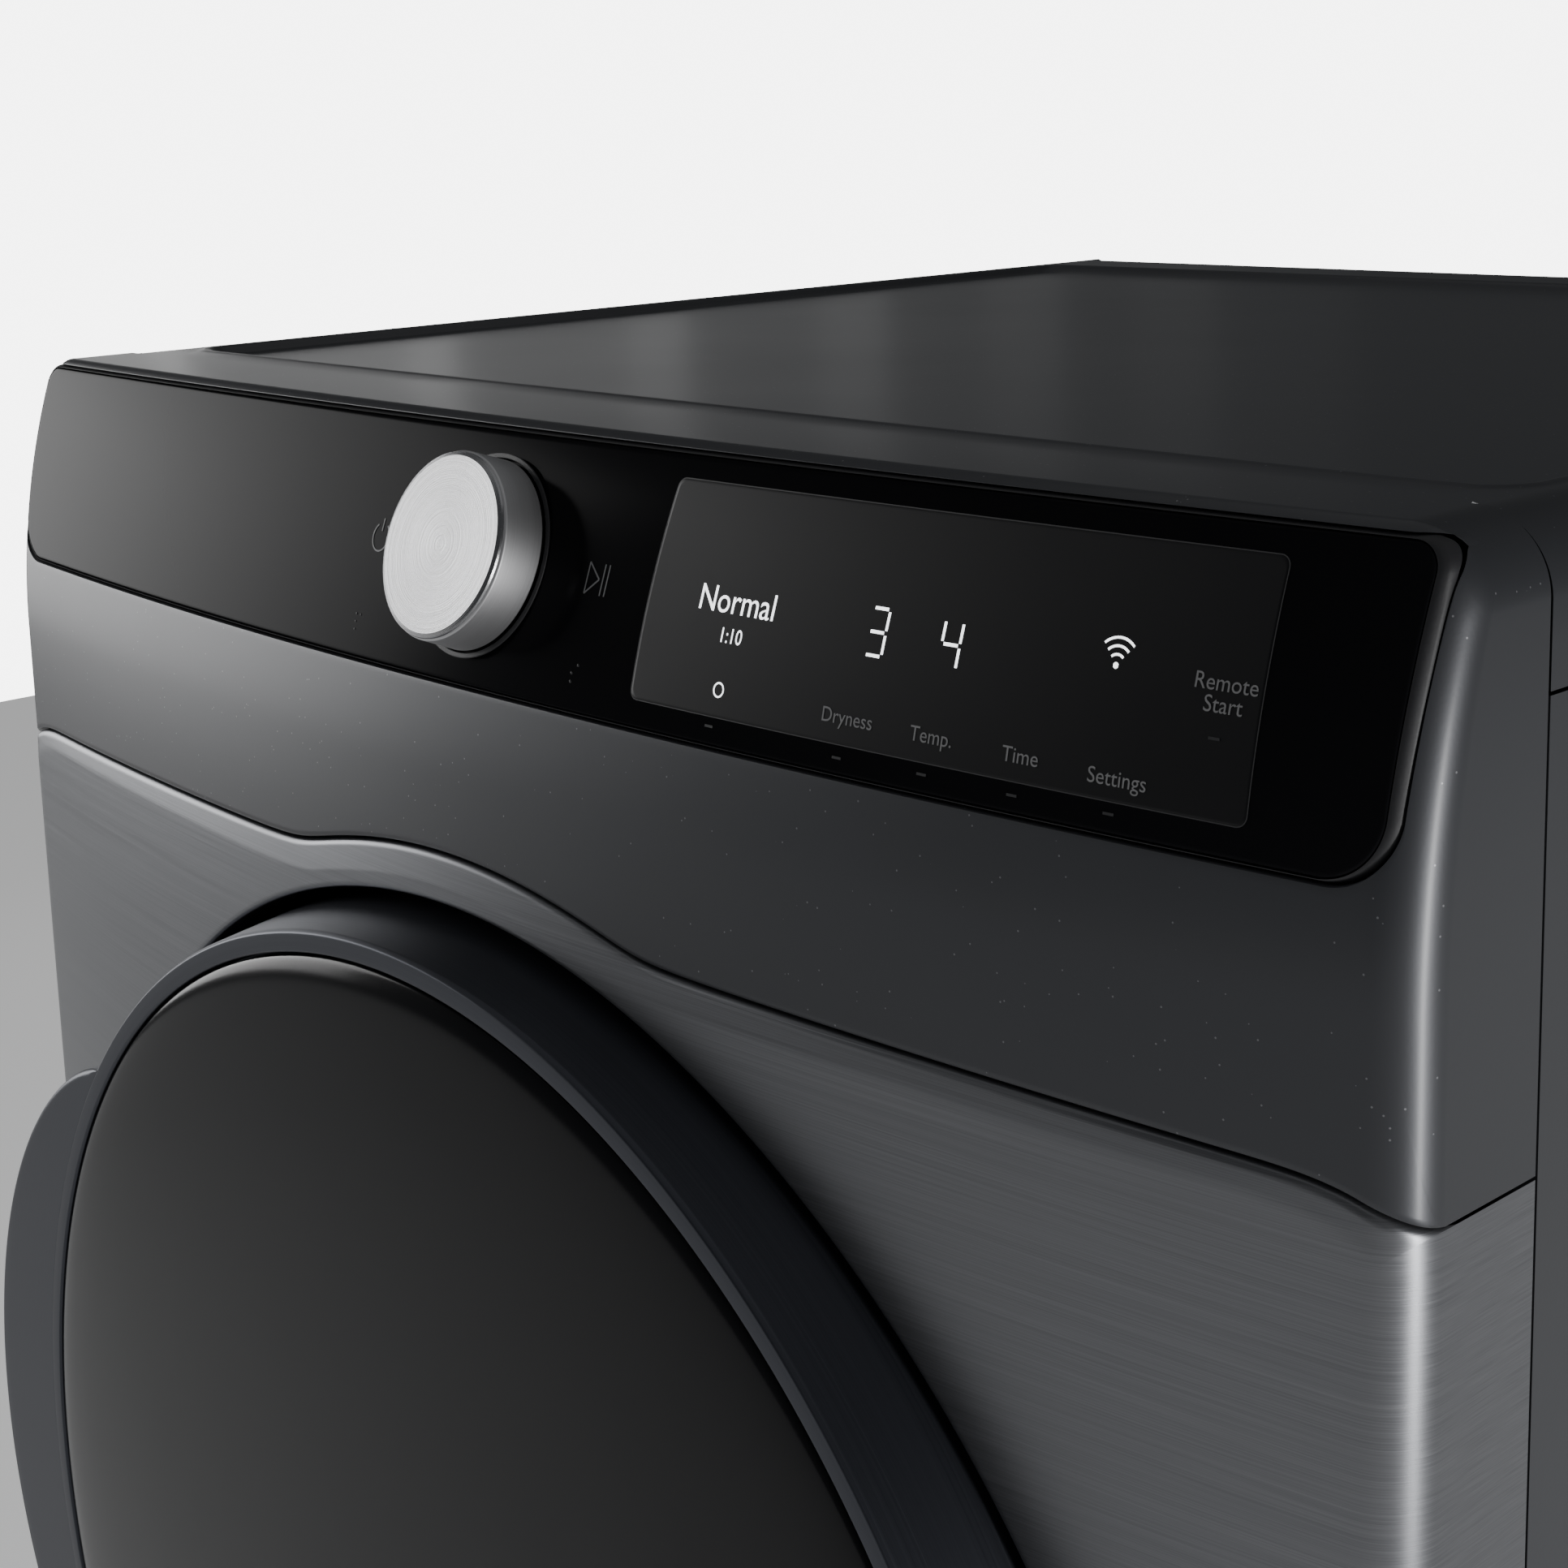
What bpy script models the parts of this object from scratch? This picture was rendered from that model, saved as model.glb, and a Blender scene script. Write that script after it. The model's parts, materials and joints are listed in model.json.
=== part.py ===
"""A front-loading clothes dryer, one object for each piece, in the places where they are assembled.

Metres, +Z up, front towards -Y. Positions are measured from the seam plane, y = 0, where the
front frame meets the top cover and the side panels. One empty moves the whole machine back so
that the middle of its footprint is the origin.
"""

import math

import bmesh
import bpy
from mathutils import Matrix, Vector

# ---- Cabinet ----
WIDTH = 0.686
HEIGHT = 0.984
BODY_DEPTH = 0.620           # seam plane to the back of the rear panel
FOOT_HEIGHT = 0.022
SHEET = 0.0015               # steel panels
SKIN = 0.0025                # the two front skins
FLANGE = 0.042               # height of the top cover's sides
CORNER_RADIUS = 0.020        # outline seen from the front
RETURN = 0.014               # bent edges of the side panels
SEAM = 0.0010                # visible seams between panels
CLEAR = 0.0004               # between pieces that touch
RECESS = 0.0030              # sunk field of the top cover
RECESS_SIDE = 0.030
RECESS_FRONT = 0.028
RECESS_BACK = 0.056
TOP_PLATE = 0.0055

# ---- Front surface: a leaning top band over a shallow dome ----
EDGE_DEPTH = 0.0515          # seam plane to the front surface along both vertical edges
LEAN_BAND = 0.109            # height of the band that leans back
LEAN = 0.0215                # how far its top edge leans back
DOME = 0.0375                # how far the middle stands before the edges
DOME_Z = 0.580
DOME_UP = 0.470              # distance over which the dome fades, upwards and downwards
DOME_DOWN = 0.560
SIDE_ROUND = 0.013           # vertical front edges
TOP_ROUND = 0.004            # top front edge

# ---- Door ----
DOOR_X = 0.005
DOOR_Z = 0.5546
OPENING_RADIUS = 0.2788
DOOR_GAP = 0.0030
RING_FRONT = 0.1023          # seam plane to the ring's front edge
RING_TAPER = 0.0061
RING_WALL = 0.0036
RIM_WIDTH = 0.0072
RING_BACK = 0.0460
GLASS_DOME = 0.0100
GLASS_THICK = 0.0040
WINDOW_RADIUS = 0.196        # inner bowl
HANDLE_REACH = 0.0470        # how far the grip stands out beyond the rim
HANDLE_HALF_ANGLE = 40.0
HANDLE_THICK = 0.0130
HINGE_REACH = 0.0105         # hinge axis outside the opening
HINGE_FORWARD = 0.0860
HINGE_HALF_HEIGHT = 0.055
PIN_RADIUS = 0.0030
BUMP = 0.0160                # the divider passes this far above the opening
DIVIDER_Z = 0.8358
DIVIDER_FALL = 0.0282
DIVIDER_DROP = 0.0095        # how much lower the divider ends at the corners
DIVIDER_BEND = 0.290         # where that drop begins, out from the middle

# ---- Control panel ----
PANEL_HALF_TOP = 0.3382
PANEL_HALF_BOTTOM = 0.3362
PANEL_TOP = 0.0022           # below the top surface
PANEL_HEIGHT = 0.0790
PANEL_RADIUS_TOP = 0.0080
PANEL_RADIUS_BOTTOM = 0.0180
PANEL_RIM = 0.0012           # black rim left visible around the glass
PANEL_GLASS = 0.0030
DISPLAY_LEFT = 0.0868
DISPLAY_RIGHT = 0.2979
DISPLAY_BOTTOM = 0.9120
DISPLAY_TOP = 0.9742
DIAL_X = 0.0045
DIAL_Z = 0.9435
DIAL_RADIUS = 0.0307
DIAL_HEIGHT = 0.0165
DIAL_GAP = 0.0010
SHAFT_RADIUS = 0.0040

# ---- Drum and its supports ----
DRUM_RADIUS = 0.312
DRUM_WALL = 0.0015
DRUM_FRONT = 0.052
DRUM_ROOM = 0.025            # drum back to the rear bulkhead
COLLAR_RADIUS = 0.215        # opening through the front bulkhead
COLLAR_BACK = 0.062
LIP_ROOM = 0.0135            # collar to drum lip, filled by the felt
FELT_ROOM = 0.0012           # running gap between the felt and the turning lip
BULKHEAD_FRONT = 0.012
AIR_ROOM = 0.035             # rear bulkhead to the back of the body
BULKHEAD_BACK = BODY_DEPTH - AIR_ROOM
DRUM_BACK = BULKHEAD_BACK - DRUM_ROOM
BULKHEAD_SIDE = 0.012        # bulkhead edges to the side panels' outer faces
BULKHEAD_LOW = 0.060
BULKHEAD_HIGH = 0.926
BAFFLE_HEIGHT = 0.055
BAFFLE_HALF_WIDTH = 0.042
BAFFLE_GAP = 0.00064         # foot of a baffle to the drum wall
ROLLER_RADIUS = 0.030
ROLLER_ANGLE = 36.0
ROLLER_WIDTH = 0.022
ROLLER_SHAFT = 0.0060

# ---- Drive, air path and heat ----
MOTOR_X = -0.048
MOTOR_Z = 0.140
MOTOR_RADIUS = 0.056
MOTOR_FRONT = 0.165
MOTOR_BACK = 0.335
MOTOR_SHAFT = 0.0060
PULLEY_RADIUS = 0.0120
BELT_Y = 0.356
BELT_WIDTH = 0.008
BELT_THICK = 0.0020
BELT_GAP = 0.0008
IDLER_RADIUS = 0.018
IDLER_ALONG = 0.110          # how far up the belt's slack side the idler presses
BLOWER_RADIUS = 0.066
BLOWER_FRONT = 0.052
BLOWER_BACK = 0.128
SCROLL_RADIUS = 0.080
DUCT_X = 0.087
DUCT_Z = 0.105
DUCT_RADIUS = 0.051
DUCT_OUT = 0.032             # how far the outlet stands out at the back
LINT_HALF_WIDTH = 0.115
LINT_FRONT = 0.0145
LINT_BACK = 0.0475
FILTER_FRONT = 0.0270
FILTER_THICK = 0.0090
FILTER_DROP = 0.190

# ---- Facets of round pieces ----
LARGE_ROUND = 48
SMALL_ROUND = 24

HALF = WIDTH / 2
GLASS_RIM = RING_FRONT - 0.0012
MACHINE_Y = (GLASS_RIM + GLASS_DOME - BODY_DEPTH - DUCT_OUT) / 2


# ---- Scene, collections, materials ----
for old in list(bpy.data.objects):
    bpy.data.objects.remove(old, do_unlink=True)


def collection(name):
    made = bpy.data.collections.new(name)
    bpy.context.scene.collection.children.link(made)
    return made


PARTS = collection("clothes_dryer")
CUTTERS = collection("cutters")


def finish(name, colour, roughness, metallic=0.0, alpha=1.0):
    material = bpy.data.materials.new(name)
    material.use_nodes = True
    shader = material.node_tree.nodes["Principled BSDF"]
    shader.inputs["Base Color"].default_value = (*colour, 1.0)
    shader.inputs["Roughness"].default_value = roughness
    shader.inputs["Metallic"].default_value = metallic
    shader.inputs["Alpha"].default_value = alpha
    return material


PAINT = finish("graphite_paint", (0.055, 0.057, 0.062), 0.42, 0.5)
BRUSHED = finish("dark_brushed_steel", (0.075, 0.078, 0.086), 0.34, 0.9)
PANEL_BLACK = finish("black_glass", (0.006, 0.006, 0.008), 0.12)
SMOKED = finish("smoked_glass", (0.012, 0.012, 0.014), 0.06, 0.0, 0.85)
CLEAR_GLASS = finish("clear_glass", (0.55, 0.58, 0.60), 0.05, 0.0, 0.35)
RING_METAL = finish("dark_ring_metal", (0.035, 0.038, 0.046), 0.32, 0.8)
SPUN = finish("spun_aluminium", (0.72, 0.72, 0.73), 0.24, 1.0)
SKIRT_METAL = finish("dark_dial_metal", (0.10, 0.10, 0.11), 0.26, 1.0)
BLACK = finish("black_plastic", (0.018, 0.018, 0.020), 0.50)
GREY = finish("grey_plastic", (0.30, 0.31, 0.32), 0.55)
ZINC = finish("galvanised_steel", (0.52, 0.53, 0.54), 0.42, 0.9)
DRUM_STEEL = finish("stainless_drum", (0.62, 0.62, 0.61), 0.30, 1.0)
RUBBER = finish("black_rubber", (0.020, 0.020, 0.020), 0.75)
FELT = finish("wool_felt", (0.42, 0.40, 0.36), 0.95)
COPPER = finish("motor_grey", (0.20, 0.21, 0.22), 0.45, 0.7)
BOARD = finish("circuit_board", (0.03, 0.16, 0.08), 0.50)


# ---- Making and placing pieces ----
def empty(name, place, parent=None):
    made = bpy.data.objects.new(name, None)
    made.empty_display_size = 0.05
    PARTS.objects.link(made)
    made.parent = parent
    made.location = place
    return made


MACHINE = empty("machine_frame", (0.0, MACHINE_Y, 0.0))


def add(name, mesh, material, at=(0, 0, 0), home=None, smooth=None):
    """Links a mesh as one named piece. at is in the machine's frame, home the empty it turns on."""
    made = bpy.data.objects.new(name, mesh)
    PARTS.objects.link(made)
    made.parent = home or MACHINE
    made.location = Vector(at) - (home.location if home else Vector())
    made.data.materials.append(material)
    if smooth:
        mesh.shade_smooth()
        mesh.set_sharp_from_angle(angle=math.radians(smooth))
    return made


def mesh_from(shape, name):
    mesh = bpy.data.meshes.new(name)
    bmesh.ops.recalc_face_normals(shape, faces=shape.faces)
    shape.to_mesh(mesh)
    shape.free()
    return mesh


def block_mesh(low, high, name="block"):
    low, high = Vector(low), Vector(high)
    shape = bmesh.new()
    bmesh.ops.create_cube(shape, size=1.0)
    bmesh.ops.scale(shape, vec=high - low, verts=shape.verts)
    bmesh.ops.translate(shape, vec=(low + high) / 2, verts=shape.verts)
    return mesh_from(shape, name)


def block(name, low, high, material, home=None):
    middle = (Vector(low) + Vector(high)) / 2
    mesh = block_mesh(Vector(low) - middle, Vector(high) - middle, name)
    return add(name, mesh, material, middle, home)


def prism_mesh(points, low, high, axis="Y", name="prism"):
    """A flat outline, drawn in the plane across axis, swept from low to high along it."""
    spot = {
        "X": lambda a, b, t: (t, a, b),
        "Y": lambda a, b, t: (a, t, b),
        "Z": lambda a, b, t: (a, b, t),
    }[axis]
    shape = bmesh.new()
    face = shape.faces.new([shape.verts.new(spot(a, b, low)) for a, b in points])
    swept = bmesh.ops.extrude_face_region(shape, geom=[face])["geom"]
    moved = [v for v in swept if isinstance(v, bmesh.types.BMVert)]
    bmesh.ops.translate(shape, vec=spot(0, 0, high - low), verts=moved)
    return mesh_from(shape, name)


def prism(name, points, low, high, material, axis="Y", home=None, smooth=None):
    mesh = prism_mesh(points, low, high, axis, name)
    at = home.location if home else Vector()
    mesh.transform(Matrix.Translation(-at))
    return add(name, mesh, material, at, home, smooth)


def turned(name, outline, at, material, steps=LARGE_ROUND, home=None, smooth=35, axis="Y"):
    """A profile of (radius, distance along the axis) turned with a Screw modifier."""
    area = sum(a[0] * b[1] - b[0] * a[1] for a, b in zip(outline, outline[1:] + outline[:1]))
    points = outline if area < 0 else outline[::-1]
    closed = min(r for r, along in points) > 0
    if not closed:
        first = next(i for i, p in enumerate(points) if p[0] == 0 and points[i - 1][0] == 0)
        points = points[first:] + points[:first]
    mesh = bpy.data.meshes.new(name)
    edges = [(i, i + 1) for i in range(len(points) - 1)]
    if closed:
        edges.append((len(points) - 1, 0))
    mesh.from_pydata([(r, 0, along) for r, along in points], edges, [])
    made = add(name, mesh, material, at, home)
    if axis == "Y":
        made.rotation_euler = (-math.pi / 2, 0, 0)
    screw = made.modifiers.new("turn", "SCREW")
    screw.steps = screw.render_steps = steps
    screw.use_merge_vertices = True
    screw.merge_threshold = 0.00001
    screw.use_smooth_shade = bool(smooth)
    return made


def circle(x, z, radius, steps=32, start=0.0, stop=360.0):
    full = stop - start >= 360
    count = steps if full else steps + 1
    angles = [math.radians(start + (stop - start) * i / steps) for i in range(count)]
    return [(x + radius * math.cos(a), z + radius * math.sin(a)) for a in angles]


def cutter(name, mesh, at=(0, 0, 0), parent=None):
    made = bpy.data.objects.new(name, mesh)
    CUTTERS.objects.link(made)
    made.parent = parent or MACHINE
    made.location = at
    made.hide_render = True
    made.display_type = "WIRE"
    return made


def carve(piece, tool, operation="DIFFERENCE"):
    boolean = piece.modifiers.new(tool.name, "BOOLEAN")
    boolean.operation = operation
    boolean.object = tool
    boolean.solver = "EXACT"
    return boolean


def cut_block(piece, name, low, high, operation="DIFFERENCE"):
    return carve(piece, cutter(name, block_mesh(low, high)), operation)


def cut_round(piece, name, x, z, radius, low, high, steps=32, operation="DIFFERENCE"):
    tool = cutter(name, prism_mesh(circle(x, z, radius, steps), low, high))
    return carve(piece, tool, operation)


# ---- The front surface ----
def edge_depth(z):
    lean = max(0.0, (z - HEIGHT + LEAN_BAND) / LEAN_BAND)
    return EDGE_DEPTH - LEAN * lean ** 2


def front_depth(x, z):
    """Distance from the seam plane forward to the front surface."""
    fade = DOME_UP if z > DOME_Z else DOME_DOWN
    along = max(0.0, 1 - ((z - DOME_Z) / fade) ** 2)
    return edge_depth(z) + DOME * along * (1 - (x / HALF) ** 2)


def divider(x):
    """Height of the joint between the painted frame and the brushed panel, bumped over the door."""
    out = (min(abs(x), HALF) - DIVIDER_BEND) / (HALF - DIVIDER_BEND)
    straight = DIVIDER_Z - DIVIDER_FALL * x * x - DIVIDER_DROP * max(0.0, out) ** 4
    reach = OPENING_RADIUS + BUMP
    inside = max(0.0, reach ** 2 - (x - DOOR_X) ** 2)
    bump = DOOR_Z + math.sqrt(inside)
    blend = 0.004
    return (straight + bump + math.sqrt((straight - bump) ** 2 + blend ** 2)) / 2


def edge_stations(low, high, radius, flat, arc=2):
    """Grid lines from low to high, close together where the edges are rounded."""
    turns = [radius * (1 - math.cos(math.pi / 2 * k / arc)) for k in range(arc + 1)]
    inner_low = low + CORNER_RADIUS
    inner_high = high - CORNER_RADIUS
    middle = [inner_low + (inner_high - inner_low) * k / flat for k in range(flat + 1)]
    return [low + t for t in turns] + middle + [high - t for t in turns[::-1]]


def round_corner(x, z, low, high):
    """Moves a point of a square outline into a rounded one; also gives its distance inside."""
    dx = abs(x) - (HALF - CORNER_RADIUS)
    dz = max(z - (high - CORNER_RADIUS), (low + CORNER_RADIUS) - z)
    if dx <= 0 or dz <= 0:
        inside = min(HALF - abs(x), high - z, z - low)
        sideways = 1.0 if HALF - abs(x) <= min(high - z, z - low) else 0.0
        return x, z, inside, sideways
    far = max(dx, dz)
    flat = math.hypot(dx, dz)
    moved_x, moved_z = dx * far / flat, dz * far / flat
    new_x = math.copysign(HALF - CORNER_RADIUS + moved_x, x)
    up = z > (low + high) / 2
    new_z = high - CORNER_RADIUS + moved_z if up else low + CORNER_RADIUS - moved_z
    return new_x, new_z, CORNER_RADIUS - far, (dx / flat) ** 2


def front_skin(name, material):
    """The outer front shell: a grid laid over the front surface, its border turned back."""
    low, high = FOOT_HEIGHT + 0.004, HEIGHT
    xs = edge_stations(-HALF, HALF, SIDE_ROUND, 10)
    zs = edge_stations(low, high, TOP_ROUND, 12)
    shape = bmesh.new()
    bmesh.ops.create_grid(shape, x_segments=len(xs) - 1, y_segments=len(zs) - 1, size=1.0)
    for v in shape.verts:
        x = xs[round((v.co.x + 1) / 2 * (len(xs) - 1))]
        z = zs[round((v.co.y + 1) / 2 * (len(zs) - 1))]
        x, z, inside, sideways = round_corner(x, z, low, high)
        radius = TOP_ROUND + (SIDE_ROUND - TOP_ROUND) * sideways
        drop = max(0.0, radius - inside)
        back = radius - math.sqrt(max(0.0, radius ** 2 - drop ** 2))
        v.co = (x, back - front_depth(x, z), z)
    border = [e for e in shape.edges if e.is_boundary]
    swept = bmesh.ops.extrude_edge_only(shape, edges=border)["geom"]
    for v in swept:
        if isinstance(v, bmesh.types.BMVert):
            v.co.y = -SEAM / 2
    bmesh.ops.recalc_face_normals(shape, faces=shape.faces)
    if max(shape.faces, key=lambda f: f.calc_area()).normal.y > 0:
        bmesh.ops.reverse_faces(shape, faces=shape.faces)
    mesh = bpy.data.meshes.new(name)
    shape.to_mesh(mesh)
    shape.free()
    made = add(name, mesh, material, smooth=30)
    wall = made.modifiers.new("wall", "SOLIDIFY")
    wall.thickness = SKIN
    wall.offset = -1.0
    wall.use_even_offset = True
    return made


def half_plane(name, above, gap):
    """Everything in front of the seam plane above or below the divider line."""
    steps = 48
    wide = HALF + 0.05
    line = [(-wide + 2 * wide * k / steps) for k in range(steps + 1)]
    shift = -gap / 2 if above else gap / 2
    far = HEIGHT + 0.1 if above else -0.1
    points = [(x, divider(x) + shift) for x in line] + [(wide, far), (-wide, far)]
    return cutter(name, prism_mesh(points, -0.3, 0.1))


def rounded_outline(left_low, right_low, left_high, right_high, low, high, r_low, r_high, steps=5):
    """A four-sided outline with rounded corners; the two upright sides may lean a little."""
    corners = [
        (right_low, low, r_low, -90), (right_high, high, r_high, 0),
        (left_high, high, r_high, 90), (left_low, low, r_low, 180),
    ]
    points = []
    for x, z, r, start in corners:
        sx = -1 if x > 0.5 * (left_low + right_low) else 1
        sz = -1 if z > 0.5 * (low + high) else 1
        points += circle(x + sx * r, z + sz * r, r, steps, start, start + 90)
    return points


def panel_outline(inset_side, inset):
    """The control panel's outline seen from the front, drawn in by the two insets."""
    high = HEIGHT - PANEL_TOP - inset
    low = HEIGHT - PANEL_TOP - PANEL_HEIGHT + inset
    half_low, half_high = PANEL_HALF_BOTTOM - inset_side, PANEL_HALF_TOP - inset_side
    return rounded_outline(
        -half_low, half_low, -half_high, half_high, low, high,
        PANEL_RADIUS_BOTTOM - inset, PANEL_RADIUS_TOP - inset)


def surface_slab(name, material, outline, front, back):
    """A slab between two offsets behind the front surface, cut to an outline."""
    xs = [p[0] for p in outline]
    zs = [p[1] for p in outline]
    wide, tall = max(xs) - min(xs), max(zs) - min(zs)
    columns = max(2, round(wide / 0.045))
    rows = max(2, round(tall / 0.020))
    shape = bmesh.new()
    bmesh.ops.create_grid(shape, x_segments=columns, y_segments=rows, size=0.5)
    margin = 0.004
    for v in shape.verts:
        x = min(xs) - margin + (v.co.x + 0.5) * (wide + 2 * margin)
        z = min(zs) - margin + (v.co.y + 0.5) * (tall + 2 * margin)
        v.co = (x, front - front_depth(x, z), z)
    made_faces = list(shape.faces)
    swept = bmesh.ops.extrude_face_region(shape, geom=made_faces)["geom"]
    moved = [v for v in swept if isinstance(v, bmesh.types.BMVert)]
    bmesh.ops.translate(shape, vec=(0, back - front, 0), verts=moved)
    made = add(name, mesh_from(shape, name), material, smooth=30)
    keep = cutter(name + "_outline", prism_mesh(outline, -0.25, 0.05))
    carve(made, keep, "INTERSECT")
    return made


def make_fronts():
    frame = front_skin("front_frame", PAINT)
    carve(frame, half_plane("below_divider", False, SEAM))
    carve(frame, cutter("panel_hole", prism_mesh(panel_outline(0, 0), -0.25, -0.012)))
    lower = front_skin("lower_front_panel", BRUSHED)
    carve(lower, half_plane("above_divider", True, SEAM))
    cut_round(lower, "door_opening", DOOR_X, DOOR_Z, OPENING_RADIUS, -0.3, 0.05, LARGE_ROUND)
    edge = DOOR_X + OPENING_RADIUS
    cut_block(lower, "hinge_notch", (edge - 0.012, -0.2, DOOR_Z - HINGE_HALF_HEIGHT - SEAM),
              (edge + 2 * HINGE_REACH, 0.05, DOOR_Z + HINGE_HALF_HEIGHT + SEAM))


make_fronts()


# ---- Control panel ----
def dial_normal():
    step = 0.0005
    slope_x = (front_depth(DIAL_X + step, DIAL_Z) - front_depth(DIAL_X - step, DIAL_Z)) / (2 * step)
    slope_z = (front_depth(DIAL_X, DIAL_Z + step) - front_depth(DIAL_X, DIAL_Z - step)) / (2 * step)
    return Vector((-slope_x, -1.0, -slope_z)).normalized()


DIAL = empty("dial_axis", (DIAL_X, -front_depth(DIAL_X, DIAL_Z), DIAL_Z), MACHINE)
DIAL.rotation_euler = dial_normal().to_track_quat("Z", "Y").to_euler()


def dial_turned(name, outline, material, steps=SMALL_ROUND):
    made = turned(name, outline, DIAL.location, material, steps, DIAL, 35, "Z")
    return made


def dial_bore(piece, radius):
    shape = bmesh.new()
    bmesh.ops.create_cone(shape, cap_ends=True, segments=24, radius1=radius, radius2=radius, depth=0.08)
    carve(piece, cutter(piece.name + "_bore", mesh_from(shape, "bore"), parent=DIAL))


def make_controls():
    side_rim = 3 * PANEL_RIM
    glass = surface_slab("control_glass", PANEL_BLACK, panel_outline(side_rim, PANEL_RIM + CLEAR),
                         0.0, PANEL_GLASS)
    dial_bore(glass, SHAFT_RADIUS + 0.003)
    bezel = surface_slab("control_bezel", BLACK, panel_outline(CLEAR, CLEAR),
                         0.0006, PANEL_GLASS + 0.0045)
    inner = panel_outline(side_rim - CLEAR, PANEL_RIM)
    xs = [p[0] for p in inner]
    zs = [p[1] for p in inner]
    pocket = bmesh.new()
    bmesh.ops.create_grid(pocket, x_segments=16, y_segments=4, size=0.5)
    for v in pocket.verts:
        x = v.co.x * (max(xs) - min(xs) + 0.02)
        z = (max(zs) + min(zs)) / 2 + v.co.y * (max(zs) - min(zs) + 0.02)
        v.co = (x, -0.02 - front_depth(x, z), z)
    swept = bmesh.ops.extrude_face_region(pocket, geom=list(pocket.faces))["geom"]
    moved = [v for v in swept if isinstance(v, bmesh.types.BMVert)]
    bmesh.ops.translate(pocket, vec=(0, 0.02 + PANEL_GLASS + CLEAR, 0), verts=moved)
    pocket_tool = cutter("glass_pocket", mesh_from(pocket, "pocket"))
    carve(pocket_tool, cutter("pocket_outline", prism_mesh(inner, -0.26, 0.06)), "INTERSECT")
    carve(bezel, pocket_tool)
    dial_bore(bezel, SHAFT_RADIUS + 0.003)
    window = rounded_outline(DISPLAY_LEFT, DISPLAY_RIGHT, DISPLAY_LEFT, DISPLAY_RIGHT,
                             DISPLAY_BOTTOM, DISPLAY_TOP, 0.003, 0.003, 2)
    carve(bezel, cutter("display_window", prism_mesh(window, -0.25, 0.02)))
    module = rounded_outline(DISPLAY_LEFT + SEAM, DISPLAY_RIGHT - SEAM, DISPLAY_LEFT + SEAM,
                             DISPLAY_RIGHT - SEAM, DISPLAY_BOTTOM + SEAM, DISPLAY_TOP - SEAM,
                             0.0025, 0.0025, 2)
    surface_slab("display_module", BLACK, module, PANEL_GLASS + CLEAR, PANEL_GLASS + 0.0085)
    board_y = -edge_depth(HEIGHT - PANEL_TOP) + PANEL_GLASS + 0.0125
    block("control_board", (-0.150, board_y, DISPLAY_BOTTOM),
          (-0.035, board_y + 0.0016, DISPLAY_TOP - 0.008), BOARD)
    r, top = DIAL_RADIUS, DIAL_HEIGHT
    hub = SHAFT_RADIUS + 0.0035
    bore = SHAFT_RADIUS + CLEAR
    dial_turned("dial_skirt", [
        (r, DIAL_GAP), (r - 0.0006, top - 0.0020), (bore, top - 0.0020), (bore, 0.004),
        (hub, 0.004), (hub, top - 0.0045), (r - 0.003, top - 0.0045), (r - 0.003, DIAL_GAP)],
        SKIRT_METAL)
    dial_turned("dial_cap", [
        (0, top + 0.0002), (r - 0.0022, top + 0.0002), (r - 0.0009, top - 0.0008),
        (r - 0.0009, top - 0.0016), (0, top - 0.0016)], SPUN)
    dial_turned("dial_shaft", [
        (0, top - 0.0022), (SHAFT_RADIUS, top - 0.0022), (SHAFT_RADIUS, -0.0160), (0, -0.0160)],
        ZINC, 24)
    dial_turned("dial_encoder", [
        (0.009, -0.0085), (0.009, -0.0150), (bore, -0.0150), (bore, -0.0085)], BLACK, 24)


make_controls()


# ---- Cabinet shell ----
def bent_side(name, side):
    """A side panel: one plate with its front and rear edges bent inwards."""
    out, bend = HALF, HALF - RETURN
    inner = HALF - SHEET
    y0, y1 = SEAM / 2, BODY_DEPTH - SHEET - CLEAR
    points = [
        (out, y0), (out, y1), (bend, y1), (bend, y1 - SHEET), (inner, y1 - SHEET),
        (inner, y0 + SHEET), (bend, y0 + SHEET), (bend, y0)]
    points = [(side * x, y) for x, y in points]
    prism(name, points, FOOT_HEIGHT + 0.004, HEIGHT - FLANGE - SEAM, PAINT, "Z")


def top_outline(inset):
    half, high, r = HALF - inset, HEIGHT - inset, max(0.002, CORNER_RADIUS - inset)
    low = HEIGHT - FLANGE - (0.02 if inset else 0)
    right = circle(half - r, high - r, r, 5, 0, 90)
    left = circle(-half + r, high - r, r, 5, 90, 180)
    return [(half, low)] + right + left + [(-half, low)]


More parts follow.
